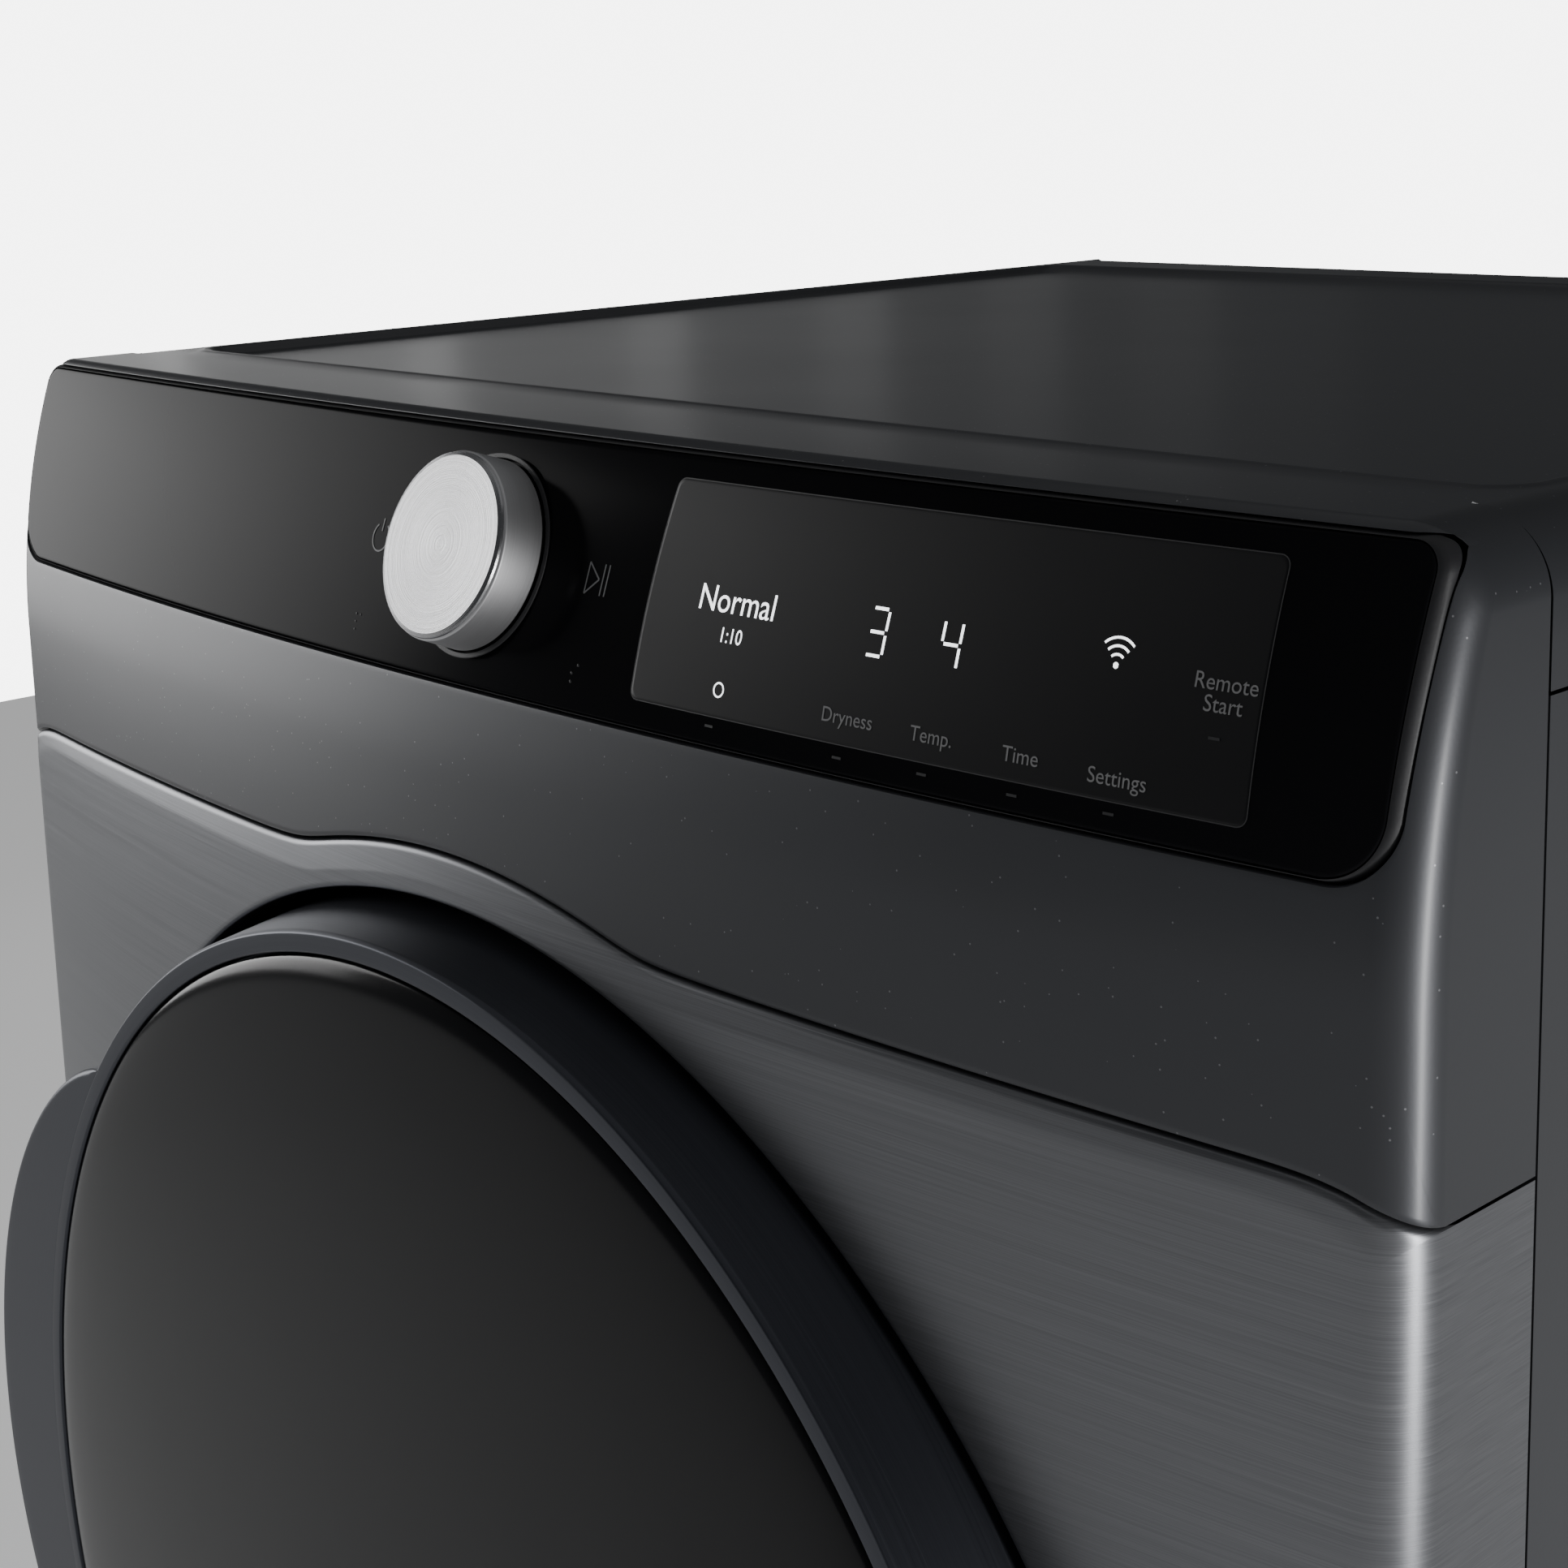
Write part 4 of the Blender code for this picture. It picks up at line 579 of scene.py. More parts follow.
# %% Lay the brushed panel
PANEL_ROLL = 0.0020
PROUD = 0.0006  # how far the panel stands before the frame
PANEL_RINGS = 56
SIDE_STEPS, LEVEL_STEPS, LOW_TURN = 90, 300, 16
hinge_low, hinge_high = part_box("hinge_bracket")
HINGE_HALF = (hinge_high.z - hinge_low.z) / 2 + SEAM
NOTCH_X = hinge_high.x + SEAM


def right_side(low, shoulder):
    """Points up the panel's right side, with one at each corner of the hinge's notch."""
    heights = {round(z, 6) for x, z in run((0, low + CORNER), (0, shoulder), SIDE_STEPS)}
    for across in (OPENING * math.cos(math.asin(HINGE_HALF / OPENING)), NOTCH_X - DOOR_X):
        rise = HINGE_HALF * (HALF - DOOR_X) / across
        heights |= {DOOR_Z - rise, DOOR_Z + rise}
    return [(HALF, z) for z in sorted(heights)]


def panel_edge():
    """The outer edge of the brushed panel, counter-clockwise from its lower left corner."""
    c, low = CORNER, FRONT_LOW
    top = corner_places(TURN)
    shoulder = divider(HALF) - SEAM / 2
    across = [x for x, z in run((HALF - c, 0), (-HALF + c, 0), LEVEL_STEPS)]
    return (run((-HALF + c, low), (HALF - c, low), SIDE_STEPS)
            + arc_points(HALF - c, low + c, c, -90, 0, LOW_TURN) + right_side(low, shoulder)
            + beside_joint(([HALF] + top[::-1])[:-1] + across + [-x for x in top], -1)
            + run((-HALF, shoulder), (-HALF, low + c), SIDE_STEPS)
            + arc_points(-HALF + c, low + c, c, 180, 270, LOW_TURN))


def opening_point(x, z):
    """Where the ray towards a point of the outer edge leaves the door opening or its notch."""
    ray = Vector((x - DOOR_X, z - DOOR_Z))
    spot = ray.normalized() * OPENING
    stretched = ray * ((NOTCH_X - DOOR_X) / ray.x) if ray.x > 0 else ray
    if ray.x > 0 and abs(stretched.y) <= HINGE_HALF + TINY:
        spot = stretched
    return DOOR_X + spot.x, DOOR_Z + spot.y


def brushed_panel():
    edge = panel_edge()
    count, shares = len(edge), crowded(PANEL_RINGS)

    def rule(i, j):
        b = edge[i % count]
        a = opening_point(*b)
        t = shares[min(max(j - 1, 0), PANEL_RINGS)]
        x, z = between(a, b, t)
        reach, joint = math.dist(a, b), at_joint(b, -1)
        fall = edge_fall(x, z - FRONT_LOW) + rolled(reach * t, PANEL_ROLL)
        if joint or z > divider(x) - 0.01:
            fall += rolled(divider(x) - SEAM / 2 - z, PANEL_ROLL)
        spot = on_front(x, z, PROUD * min(1.0, reach * (1 - t) / 0.01) - fall)
        if j == 0:
            spot.y += 5 * WALL
        if j == PANEL_RINGS + 2:
            spot.y = spot.y + WALL if joint else SEAM_Y - SEAM / 2
        return spot

    return laid(count, PANEL_RINGS + 2, rule)


front_piece("brushed_lower_panel", brushed_panel(), BRUSHED, "brushed_dark_steel",
            "lower_front_panel")

# %% [markdown]
# ## The control panel
# One sheet of black glass follows the dome in a thin dark rim. It is laid from its outline to a
# line along its middle, so it needs no cut. Its edge is ground to a small radius, then drops
# straight back.

# %% Lay the glass and its rim
GLASS_THICK = 0.003
GLASS_ROLL = 0.0007
SPINE_HALF = 0.30  # half the length of the line along the glass's middle
RIM_INSET = 0.0004
LAP = 0.0002
RIM_DISH = 0.0022
RIM_STEPS = 6


def glass_sheet(outline, spine_half, proud, thick, rings=18):
    """A domed sheet from an outline to a line along its middle, with a rounded, standing edge."""
    count = len(outline)
    shares = [(k / rings) ** 2.2 for k in range(rings + 1)]
    spine_z = sum(p[1] for p in outline) / count
    spine_x = (max(p[0] for p in outline) + min(p[0] for p in outline)) / 2

    def rule(i, j):
        a = outline[i % count]
        b = (max(-spine_half, min(spine_half, a[0] - spine_x)) + spine_x, spine_z)
        t = shares[max(j - 1, 0)]
        fall = rolled(math.dist(a, b) * t, min(GLASS_ROLL, thick))
        return on_front(*between(a, b, t), proud - (thick if j == 0 else fall))

    return laid(count, rings + 1, rule)


def panel_rim():
    inner, outer = panel_loop(RIM_SIDE - LAP, RIM_TOP), panel_loop(RIM_INSET, RIM_INSET)
    count, last = len(inner), RIM_STEPS + 2

    def rule(i, j):
        t = min(max(j - 1, 0), RIM_STEPS) / RIM_STEPS
        x, z = between(inner[i % count], outer[i % count], t)
        sink = WALL if j in (0, last) else LAP + RIM_DISH * t ** 2
        return on_front(x, z, -max(sink, edge_fall(x, HEIGHT - z) if t == 1 else 0.0))

    return laid(count, last, rule)


glass_outline = panel_loop(RIM_SIDE, RIM_TOP + RIM_INSET)
front_piece("control_panel_glass", glass_sheet(glass_outline, SPINE_HALF, 0.0, GLASS_THICK),
            BLACK_GLASS, "black_glass", "control_glass")
front_piece("control_panel_rim", panel_rim(), BLACK, "black_plastic", "control_bezel")

# %% [markdown]
# ## The display window
# Behind the glass sits the display. Its window shows as a slightly softer black with a hairline
# edge: a thin film a tenth of a millimetre proud of the glass.

# %% Lay the window film
WINDOW_LEFT, WINDOW_RIGHT = 0.0868, 0.2979
WINDOW_LOW, WINDOW_TOP = 0.9120, 0.9742
WINDOW_ROUND = 0.0030
WINDOW_STEPS = (60, 20, 8)
WINDOW_SPINE_HALF = 0.075
FILM = 0.00012
EDGE_LINE = 0.0003


def window_loop(inset):
    half = (WINDOW_RIGHT - WINDOW_LEFT) / 2 - inset
    r = WINDOW_ROUND - inset
    return rounded((WINDOW_LEFT + WINDOW_RIGHT) / 2, half, half, WINDOW_LOW + inset,
                   WINDOW_TOP - inset, r, r, WINDOW_STEPS)


def window_edge():
    loops = window_loop(EDGE_LINE), window_loop(0.0)
    count = len(loops[0])
    return laid(count, 1, lambda i, j: on_front(*loops[j][i % count], FILM * 1.3))


front_piece("display_window", glass_sheet(window_loop(LAP), WINDOW_SPINE_HALF, FILM, FILM, 10),
            WINDOW_GLASS, "black_glass")
front_piece("display_window_edge", window_edge(), HAIRLINE, "grey_plastic")

# %% [markdown]
# ## Printed and lit marks
# The marks are ribbons and letters a fraction of a millimetre above the glass. A ribbon is a strip
# of grid laid along a path, so arcs, bars and digits share one helper. Words come from text
# objects, made into meshes and dropped onto the dome.

# %% Ribbons and words on the dome
MARK = 0.00022


def ribbon(shape, path, width, proud=MARK):
    """A strip of even width along a path of (x, z) points."""
    last = len(path) - 1

    def rule(i, j):
        a, b = path[max(i - 1, 0)], path[min(i + 1, last)]
        along = Vector((b[0] - a[0], b[1] - a[1])).normalized()
        side = (j - 0.5) * width
        return on_front(path[i][0] - along.y * side, path[i][1] + along.x * side, proud)

    return laid(last, 1, rule, shape)


def bow(x, z, radius, start, stop, steps=24):
    """Points on an arc, both ends included."""
    return (arc_points(x, z, radius, start, stop, steps)
            + arc_points(x, z, radius, stop, stop + 1, 1))


def marks(name, strokes, material, slot="grey_plastic"):
    shape = bmesh.new()
    for path, width in strokes:
        ribbon(shape, path, width)
    front_piece(name, shape, material, slot)


def word(name, text, x, z, size, material, slot="grey_plastic", narrow=1.0):
    """A word, centred on (x, z), its size the height of its letters in metres."""
    letters = bpy.data.curves.new(name, "FONT")
    letters.body = text
    letters.size = size
    letters.align_x = "CENTER"
    letters.align_y = "CENTER"
    letters.resolution_u = 4
    source = bpy.data.objects.new(name + "_source", letters)
    mesh = bpy.data.meshes.new_from_object(source)
    bpy.data.objects.remove(source)
    shape = bmesh.new()
    shape.from_mesh(mesh)
    for vert in shape.verts:
        vert.co = on_front(x + vert.co.x * narrow, z + vert.co.y, MARK)
    front_piece(name, shape, material, slot)


# %% [markdown]
# ## The keys beside the dial
# Two touch keys flank the dial: power at its left, start and pause at its right. Below each are
# raised dots for the fingertips, flattened spheres whose lower halves sink into the glass.

# %% The two touch keys and their raised dots
LINE = 0.00052
POWER_X, POWER_Z = -0.0525, 0.9431
marks("power_mark", [(bow(POWER_X, POWER_Z, 0.0045, 125, 415), LINE),
                     ([(POWER_X, POWER_Z + 0.0018), (POWER_X, POWER_Z + 0.0058)], LINE)], PRINT)
START_X, START_Z, START_HALF = 0.0581, 0.9429, 0.0045
foot, middle, head = START_Z - START_HALF, START_Z, START_Z + START_HALF
tip, first_bar, second_bar = START_X + 0.0056, START_X + 0.0072, START_X + 0.0092
marks("start_mark", [(path, LINE) for path in (
    [(START_X, foot), (START_X, head)], [(START_X, head), (tip, middle)],
    [(tip, middle), (START_X, foot)], [(first_bar, foot), (first_bar, head)],
    [(second_bar, foot), (second_bar, head)])], PRINT)
DOT = 0.00055
DOT_STEP = 0.0025
DOT_FLAT = 0.35


def raised_dots(name, x, z, places):
    """Dots at a number of steps right of x and above z."""
    shape = bmesh.new()
    for right, up in places:
        spot = on_front(x + right * DOT_STEP, z + up * DOT_STEP)
        dot = bmesh.ops.create_uvsphere(shape, u_segments=12, v_segments=8, radius=DOT)["verts"]
        bmesh.ops.scale(shape, vec=(1, DOT_FLAT, 1), verts=dot)
        bmesh.ops.translate(shape, vec=spot, verts=dot)
    finish_piece(name, shape, BLACK, "cabinet", "black_plastic")


raised_dots("raised_dots_left", -0.0576, 0.9152, [(0, 1), (1, 1), (0, 0), (0, -1)])
raised_dots("raised_dots_right", 0.0605, 0.9154, [(0.5, 1), (-0.5, 0), (-0.5, -1)])

# %% [markdown]
# ## What the display says
# The display shows a programme, its time, two settings as digits, and a row of touch keys. A digit
# is a choice of bars, and each bar is one ribbon.

# %% Lit digits and signs
# the bars of a digit: top, upper right, lower right, foot, upper left and middle
BARS = {"a": ((-1, 2), (1, 2)), "b": ((1, 0), (1, 2)), "c": ((1, -2), (1, 0)),
        "d": ((-1, -2), (1, -2)), "f": ((-1, 0), (-1, 2)), "g": ((-1, 0), (1, 0))}
DIGITS = {"3": "agdbc", "4": "fbgc"}
BAR_HALF = 0.0030
BAR_GAP = 0.20
BAR_WIDE = 0.00085
DIGIT_Z = 0.9423


def bar_digit(name, digit, x, z):
    strokes = []
    for bar in DIGITS[digit]:
        (ax, az), (bx, bz) = BARS[bar]
        length = math.hypot(bx - ax, bz - az)
        ux, uz = (bx - ax) / length * BAR_GAP, (bz - az) / length * BAR_GAP
        path = [(x + (ax + ux) * BAR_HALF, z + (az + uz) * BAR_HALF),
                (x + (bx - ux) * BAR_HALF, z + (bz - uz) * BAR_HALF)]
        strokes.append((path, BAR_WIDE))
    marks(name, strokes, LIT, "clear_glass")


bar_digit("dryness_digit", "3", 0.1779, DIGIT_Z)
bar_digit("heat_digit", "4", 0.2035, DIGIT_Z)
marks("knob_sign", [(bow(0.1231, 0.9197, 0.0019, 0, 360), 0.0005)], LIT, "clear_glass")
WAVE_X, WAVE_Z = 0.2555, 0.9440
waves = [(bow(WAVE_X, WAVE_Z, r, 48, 132, 12), 0.00062) for r in (0.0026, 0.0046, 0.0066)]
waves.append((bow(WAVE_X, WAVE_Z, 0.0004, 0, 360, 12), 0.0008))
marks("wireless_sign", waves, LIT, "clear_glass")
word("programme_word", "Normal", 0.1239, 0.9433, 0.0100, LIT, "clear_glass")
word("time_left", "1:10", 0.1240, 0.9342, 0.0058, LIT, "clear_glass", 0.95)

# %% [markdown]
# ## Key names
# Each touch key has its name in small grey print. Under the name, at the window's lower edge, lies
# a short raised bar, just felt by a fingertip.

# %% Key names and raised key marks
LABEL = 0.0056
LABELS = {"Dryness": (0.1726, 0.9192), "Temp.": (0.2022, 0.9189), "Time": (0.2314, 0.9185),
          "Settings": (0.2609, 0.9176), "Remote": (0.2873, 0.9438), "Start": (0.2873, 0.9388)}
for label, (x, z) in LABELS.items():
    word("label_" + label.strip(".").lower(), label, x, z, LABEL, PRINT)
KEY_HALF, KEY_WIDE = 0.0016, 0.0007
KEY_MARKS = [(0.1213, 0.9095), (0.1708, 0.9087), (0.2006, 0.9092),
             (0.2302, 0.9088), (0.2596, 0.9092), (0.2863, 0.9312)]
marks("raised_key_marks", [([(x - KEY_HALF, z), (x + KEY_HALF, z)], KEY_WIDE)
                           for x, z in KEY_MARKS], BLACK, "black_plastic")

# %% [markdown]
# ## Turned parts
# Rings, knobs and drums are turned. A profile is a few softened corners of radius and distance. It
# is spun round Z with `bmesh.ops.spin` and laid along its axis.

# %% Spin a profile about an axis
def soften(corners, radius, steps=4, closed=True):
    """Replaces each corner of a profile by a short curve that starts radius away from it."""
    count, points = len(corners), []
    for k, corner in enumerate(corners):
        if not closed and k in (0, count - 1):
            points.append(Vector(corner))
            continue
        here = Vector(corner)
        before, after = Vector(corners[k - 1]) - here, Vector(corners[(k + 1) % count]) - here
        a = here + before.normalized() * min(radius, before.length * 0.45)
        b = here + after.normalized() * min(radius, after.length * 0.45)
        for step in range(steps + 1):
            t = step / steps
            points.append(a * (1 - t) ** 2 + here * (2 * t * (1 - t)) + b * t ** 2)
    return points


def spun(profile, centre, axis, steps=192, closed=True):
    shape = bmesh.new()
    verts = [shape.verts.new((p[0], 0.0, p[1])) for p in profile]
    edges = [shape.edges.new(pair) for pair in zip(verts, verts[1:])]
    if closed:
        edges.append(shape.edges.new((verts[-1], verts[0])))
    bmesh.ops.spin(shape, geom=verts + edges, cent=(0, 0, 0), axis=(0, 0, 1), dvec=(0, 0, 0),
                   angle=math.tau, steps=steps, use_merge=True)
    bmesh.ops.remove_doubles(shape, verts=shape.verts, dist=MERGE)
    turn = Vector(axis).to_track_quat("Z", "Y").to_matrix().to_4x4()
    bmesh.ops.transform(shape, matrix=Matrix.Translation(Vector(centre)) @ turn,
                        verts=shape.verts)
    return shape


def dial_piece(name, profile, material, body, slot, stands_for=(), closed=True, **more):
    shape = spun(profile, DIAL_CENTRE, DIAL_AXIS, closed=closed)
    finish_piece(name, shape, material, body, slot, stands_for, **more)


def door_piece(name, profile, material, slot, node, body="door", steps=192, closed=True, **more):
    shape = spun(profile, DOOR_CENTRE, LEVEL, steps, closed)
    finish_piece(name, shape, material, body, slot, [node], **more)


# %% [markdown]
# ## The dial
# The dial is a spun aluminium cap on a turned metal skirt. It turns on an axis square to the
# leaning panel, read from the joint. A hair of dark gap and a faint ring part it from the glass.

# %% Turn the dial
DIAL_RADIUS = 0.0307
DIAL_TOP = 0.0167
DIAL_FOOT = 0.0010
DIAL_SEAT = DIAL_TOP - 0.0050
SEAT_RADIUS, BORE = DIAL_RADIUS - 0.003, 0.006
skirt = soften([(DIAL_RADIUS, DIAL_FOOT), (DIAL_RADIUS - 0.0005, DIAL_TOP - 0.0020),
                (DIAL_RADIUS - 0.0014, DIAL_TOP - 0.0014), (BORE, DIAL_TOP - 0.0022),
                (BORE, DIAL_SEAT), (SEAT_RADIUS, DIAL_SEAT), (SEAT_RADIUS, DIAL_FOOT)], 0.0004)
dial_piece("dial_side", skirt, DIAL_SIDE, "dial", "dial_dark_metal", ["dial_skirt"])
CAP_BACK = DIAL_TOP - 0.0016
cap = [(0.0, DIAL_TOP - 0.00025), (0.012, DIAL_TOP - 0.00020), (0.024, DIAL_TOP - 0.00008),
       (DIAL_RADIUS - 0.0025, DIAL_TOP), (DIAL_RADIUS - 0.0012, DIAL_TOP - 0.0006),
       (DIAL_RADIUS - 0.0010, DIAL_TOP - 0.0012), (DIAL_RADIUS - 0.0012, CAP_BACK),
       (0.0, CAP_BACK)]
dial_piece("dial_face", cap, SPUN, "dial", "spun_aluminium", ["dial_cap"], closed=False,
           smooth=20)
COLLAR_IN, COLLAR_OUT, COLLAR_BACK, COLLAR_FRONT = 0.0312, 0.0329, -0.0002, 0.00045
collar = soften([(COLLAR_IN, COLLAR_BACK), (COLLAR_IN, COLLAR_FRONT),
                 (COLLAR_OUT, COLLAR_FRONT), (COLLAR_OUT, COLLAR_BACK)], 0.0003)
dial_piece("dial_surround", collar, BLACK, "cabinet", "black_plastic")

# %% [markdown]
# ## The top cover
# The top is one pressed sheet with rounded long edges. Its field is sunk 3 mm, with a soft slope
# and a small bead round it. The slope depends on the distance to a rounded rectangle, so the
# field's corners come out round.

# %% Lay the top cover
RECESS = 0.003
FIELD_SIDE, FIELD_FRONT, FIELD_BACK, FIELD_ROUND = 0.030, 0.028, 0.056, 0.012
SLOPE = 0.0030
BEAD_HIGH, BEAD_OUT, BEAD_WIDE = 0.0006, SLOPE + 0.0015, 0.0018
COVER_ROLL, ROLL_STEPS = 0.0012, 14
TUCK_IN, TUCK_BACK, TUCK_DOWN = 0.985, 0.0015, 0.004


def stations(low, high, edges, fine=0.0012, coarse=0.012, near=0.009):
    """Grid lines from low to high, close together near the edges."""
    spots, here = [low], low
    while here < high - TINY:
        here += fine if min(abs(here - edge) for edge in edges) < near else coarse
        spots.append(min(here, high))
    return spots


def top_height(x, y):
    half_x = HALF - FIELD_SIDE
    half_y = (BODY_DEPTH - FIELD_FRONT - FIELD_BACK) / 2
    middle = SEAM_Y + FIELD_FRONT + half_y
    qx, qy = abs(x) - half_x + FIELD_ROUND, abs(y - middle) - half_y + FIELD_ROUND
    outside = math.hypot(max(qx, 0), max(qy, 0)) + min(max(qx, qy), 0) - FIELD_ROUND
    t = min(1.0, max(0.0, 0.5 - outside / (2 * SLOPE)))
    bead = BEAD_HIGH * math.exp(-((outside - BEAD_OUT) / BEAD_WIDE) ** 2)
    return HEIGHT - BEAD_HIGH + bead - RECESS * t * t * (3 - 2 * t)


def top_cover():
    c, front, back = CORNER, SEAM_Y + SEAM / 2, SEAM_Y + BODY_DEPTH
    inner = stations(-HALF + c, HALF - c, (-HALF + FIELD_SIDE, HALF - FIELD_SIDE,
                                           -HALF + c, HALF - c))
    left = [(-HALF, HEIGHT - FLANGE), (-HALF, HEIGHT - FLANGE / 2 - c / 2)]
    left += arc_points(-HALF + c, HEIGHT - c, c, 180, 90, ROLL_STEPS)
    across = left + [(x, None) for x in inner] + [(-x, z) for x, z in left[::-1]]
    deep = stations(front, back, (front, SEAM_Y + FIELD_FRONT, back - FIELD_BACK, back),
                    near=0.008)
    last = len(deep) - 1

    def rule(i, j):
        x, z = across[i]
        y = deep[min(max(j - 1, 0), last)]
        flat = z is None
        if flat:
            high = top_height(x, y) - rolled(min(y - front, back - y), COVER_ROLL)
        else:
            high = z - BEAD_HIGH * (z > HEIGHT - c)
        if j == 0:
            return Vector((x * TUCK_IN, y + TUCK_BACK,
                           min(high, HEIGHT - TUCK_DOWN) if flat else z))
        return Vector((x, y, HEIGHT - FLANGE if j == last + 2 else high))

    return laid(len(across) - 1, last + 2, rule)


finish_piece("pressed_top_cover", top_cover(), PAINT, "cabinet", "graphite_paint", ["top_cover"],
             facing=UPWARD)

# %% [markdown]
# ## The door
# The door is a conical metal ring round a domed sheet of dark glass. Both are turned, so the
# ring's highlight and the glass's edge stay round. The glass sits a little behind the ring's
# narrow front rim.

# %% Turn the door's ring and glass
RIM_FRONT = SEAM_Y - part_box("door_ring")[0].y
RIM_BACK = SEAM_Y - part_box("door_ring")[1].y
GLASS_FRONT = SEAM_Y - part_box("door_glass")[0].y
RING_OUT = OPENING - 0.003
RING_RIM = RING_OUT - 0.0061
RING_IN = RING_RIM - 0.0072
RING_WALL = 0.0036
BEND = -RIM_BACK - 0.012  # where the ring starts to narrow
SHELF = -RIM_FRONT + 0.0080  # what the glass rests on
SHELF_BACK = SHELF + 0.0030
ring = soften([(RING_OUT, -RIM_BACK), (RING_OUT, BEND),
               (RING_RIM + 0.0006, -RIM_FRONT + 0.0016), (RING_RIM - 0.0004, -RIM_FRONT),
               (RING_IN + 0.0007, -RIM_FRONT), (RING_IN, -RIM_FRONT + 0.0008),
               (RING_IN, SHELF), (RING_IN - 0.010, SHELF), (RING_IN - 0.010, SHELF_BACK),
               (RING_RIM - RING_WALL, SHELF_BACK), (RING_OUT - RING_WALL, BEND),
               (RING_OUT - RING_WALL, -RIM_BACK)], 0.0005)
FINE = 320
door_piece("door_outer_ring", ring, RING_METAL, "ring_metal", "door_ring", steps=FINE, smooth=50)
DOOR_GLASS_THICK = 0.0040
GLASS_EDGE = RING_IN - 0.0009
GLASS_DEPTH = GLASS_FRONT - RIM_FRONT + 0.0012
GLASS_STEPS = 40
face = [(GLASS_EDGE * math.sin(a), -GLASS_FRONT + GLASS_DEPTH * (1 - math.cos(a)))
        for a in [math.pi / 2 * (k / GLASS_STEPS) ** 0.8 for k in range(GLASS_STEPS + 1)]]
pane = (face + [(GLASS_EDGE, -RIM_FRONT + 0.0045)]
        + [(r, y + DOOR_GLASS_THICK) for r, y in face[::-1]][1:])
door_piece("door_domed_glass", pane, SMOKED, "smoked_glass", "door_glass", steps=FINE,
           closed=False, smooth=45)

# %% [markdown]
# ## The door's grip
# The grip at the left is a crescent that swells out of the ring. An extruded outline would have
# sharp edges, so a rounded section is carried along an arc instead. Its width follows a smooth
# curve that starts and ends inside the ring.

# %% Carry the grip along its arc
GRIP_HALF = 40  # degrees of the arc above and below the middle
GRIP_REACH = 0.047
GRIP_THICK = 0.013
GRIP_ROUND = 0.0030
GRIP_ROOT = RING_RIM - 0.0004
GRIP_STEPS = 160
FRONT_STEPS, ROUND_STEPS, BACK_STEPS = 10, 9, 12
GRIP_AROUND = FRONT_STEPS + 2 * ROUND_STEPS + BACK_STEPS


def grip_section(angle):
    """The grip's rounded section at an angle, as distances from the door's middle and seam."""
    off = (180 - angle) / GRIP_HALF
    out = max(RING_RIM + GRIP_REACH * max(0.0, 1 - off * off) ** 0.8, GRIP_ROOT + 0.0006)
    r = min(GRIP_ROUND, (out - GRIP_ROOT) * 0.48, GRIP_THICK * 0.45)
    front, back = -RIM_FRONT + 0.0001, -RIM_FRONT + GRIP_THICK
    return (run((GRIP_ROOT, front), (out - r, front), FRONT_STEPS)
            + arc_points(out - r, front + r, r, -90, 0, ROUND_STEPS)
            + arc_points(out - r, back - r, r, 0, 90, ROUND_STEPS)
            + run((out - r, back), (GRIP_ROOT, back), BACK_STEPS))


def grip():
    angles = [180 - GRIP_HALF + 2 * GRIP_HALF * i / GRIP_STEPS for i in range(GRIP_STEPS + 1)]
    sections = [grip_section(angle) for angle in angles]

    def rule(i, j):
        out, depth = sections[i][j % GRIP_AROUND]
        a = math.radians(angles[i])
        return Vector((DOOR_X + out * math.cos(a), SEAM_Y + depth, DOOR_Z + out * math.sin(a)))

    return laid(GRIP_STEPS, GRIP_AROUND, rule)


finish_piece("door_grip", grip(), RING_METAL, "door", "ring_metal", ["door_handle"],
             facing=FORWARD, smooth=50)

# %% [markdown]
# ## Inside the door
# With the door open its inside shows: a moulded liner, a clear bowl that keeps clothes off the
# glass, and a rubber seal. They are turned too, and their depths come from the working model.

# %% Turn the liner, the bowl and the seal
LINER_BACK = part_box("door_liner")[1].y - SEAM_Y
BOWL_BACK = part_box("door_bowl")[1].y - SEAM_Y
BOWL = 0.196
BOWL_FLAT = BOWL * 0.60
liner = soften([(RING_OUT - 0.0004, -RIM_BACK + 0.0004), (RING_OUT - 0.016, -RIM_BACK + 0.010),
                (BOWL + 0.030, LINER_BACK), (BOWL + 0.004, LINER_BACK),
                (BOWL + 0.004, LINER_BACK - 0.003), (BOWL + 0.028, LINER_BACK - 0.003),
                (RING_OUT - 0.018, -RIM_BACK + 0.0065), (RING_OUT - 0.004, -RIM_BACK + 0.0004)],
               0.0020)
door_piece("door_inner_liner", liner, GREY, "grey_plastic", "door_liner")
bowl = soften([(0.0, BOWL_BACK), (BOWL_FLAT, BOWL_BACK), (BOWL * 0.82, BOWL_BACK - 0.007),
               (BOWL, LINER_BACK - 0.004), (BOWL + 0.010, LINER_BACK - 0.0035),
               (BOWL + 0.010, LINER_BACK - 0.0065), (BOWL - 0.002, LINER_BACK - 0.0065),
               (BOWL * 0.81, BOWL_BACK - 0.011), (BOWL_FLAT, BOWL_BACK - 0.004),
               (0.0, BOWL_BACK - 0.004)], 0.006, 6, closed=False)
door_piece("door_clear_bowl", bowl, CLEAR, "clear_glass", "door_bowl", closed=False)
seal_low, seal_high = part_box("door_seal")
SEAL_FRONT, SEAL_BACK = seal_low.y - SEAM_Y, seal_high.y - SEAM_Y
SEAL_OUT = (seal_high.x - seal_low.x) / 2
seal = soften([(SEAL_OUT - 0.004, SEAL_BACK), (SEAL_OUT, SEAL_FRONT),
               (SEAL_OUT - 0.009, SEAL_FRONT), (SEAL_OUT - 0.007, SEAL_BACK)], 0.002)
door_piece("door_rubber_seal", seal, RUBBER, "black_rubber", "door_seal")

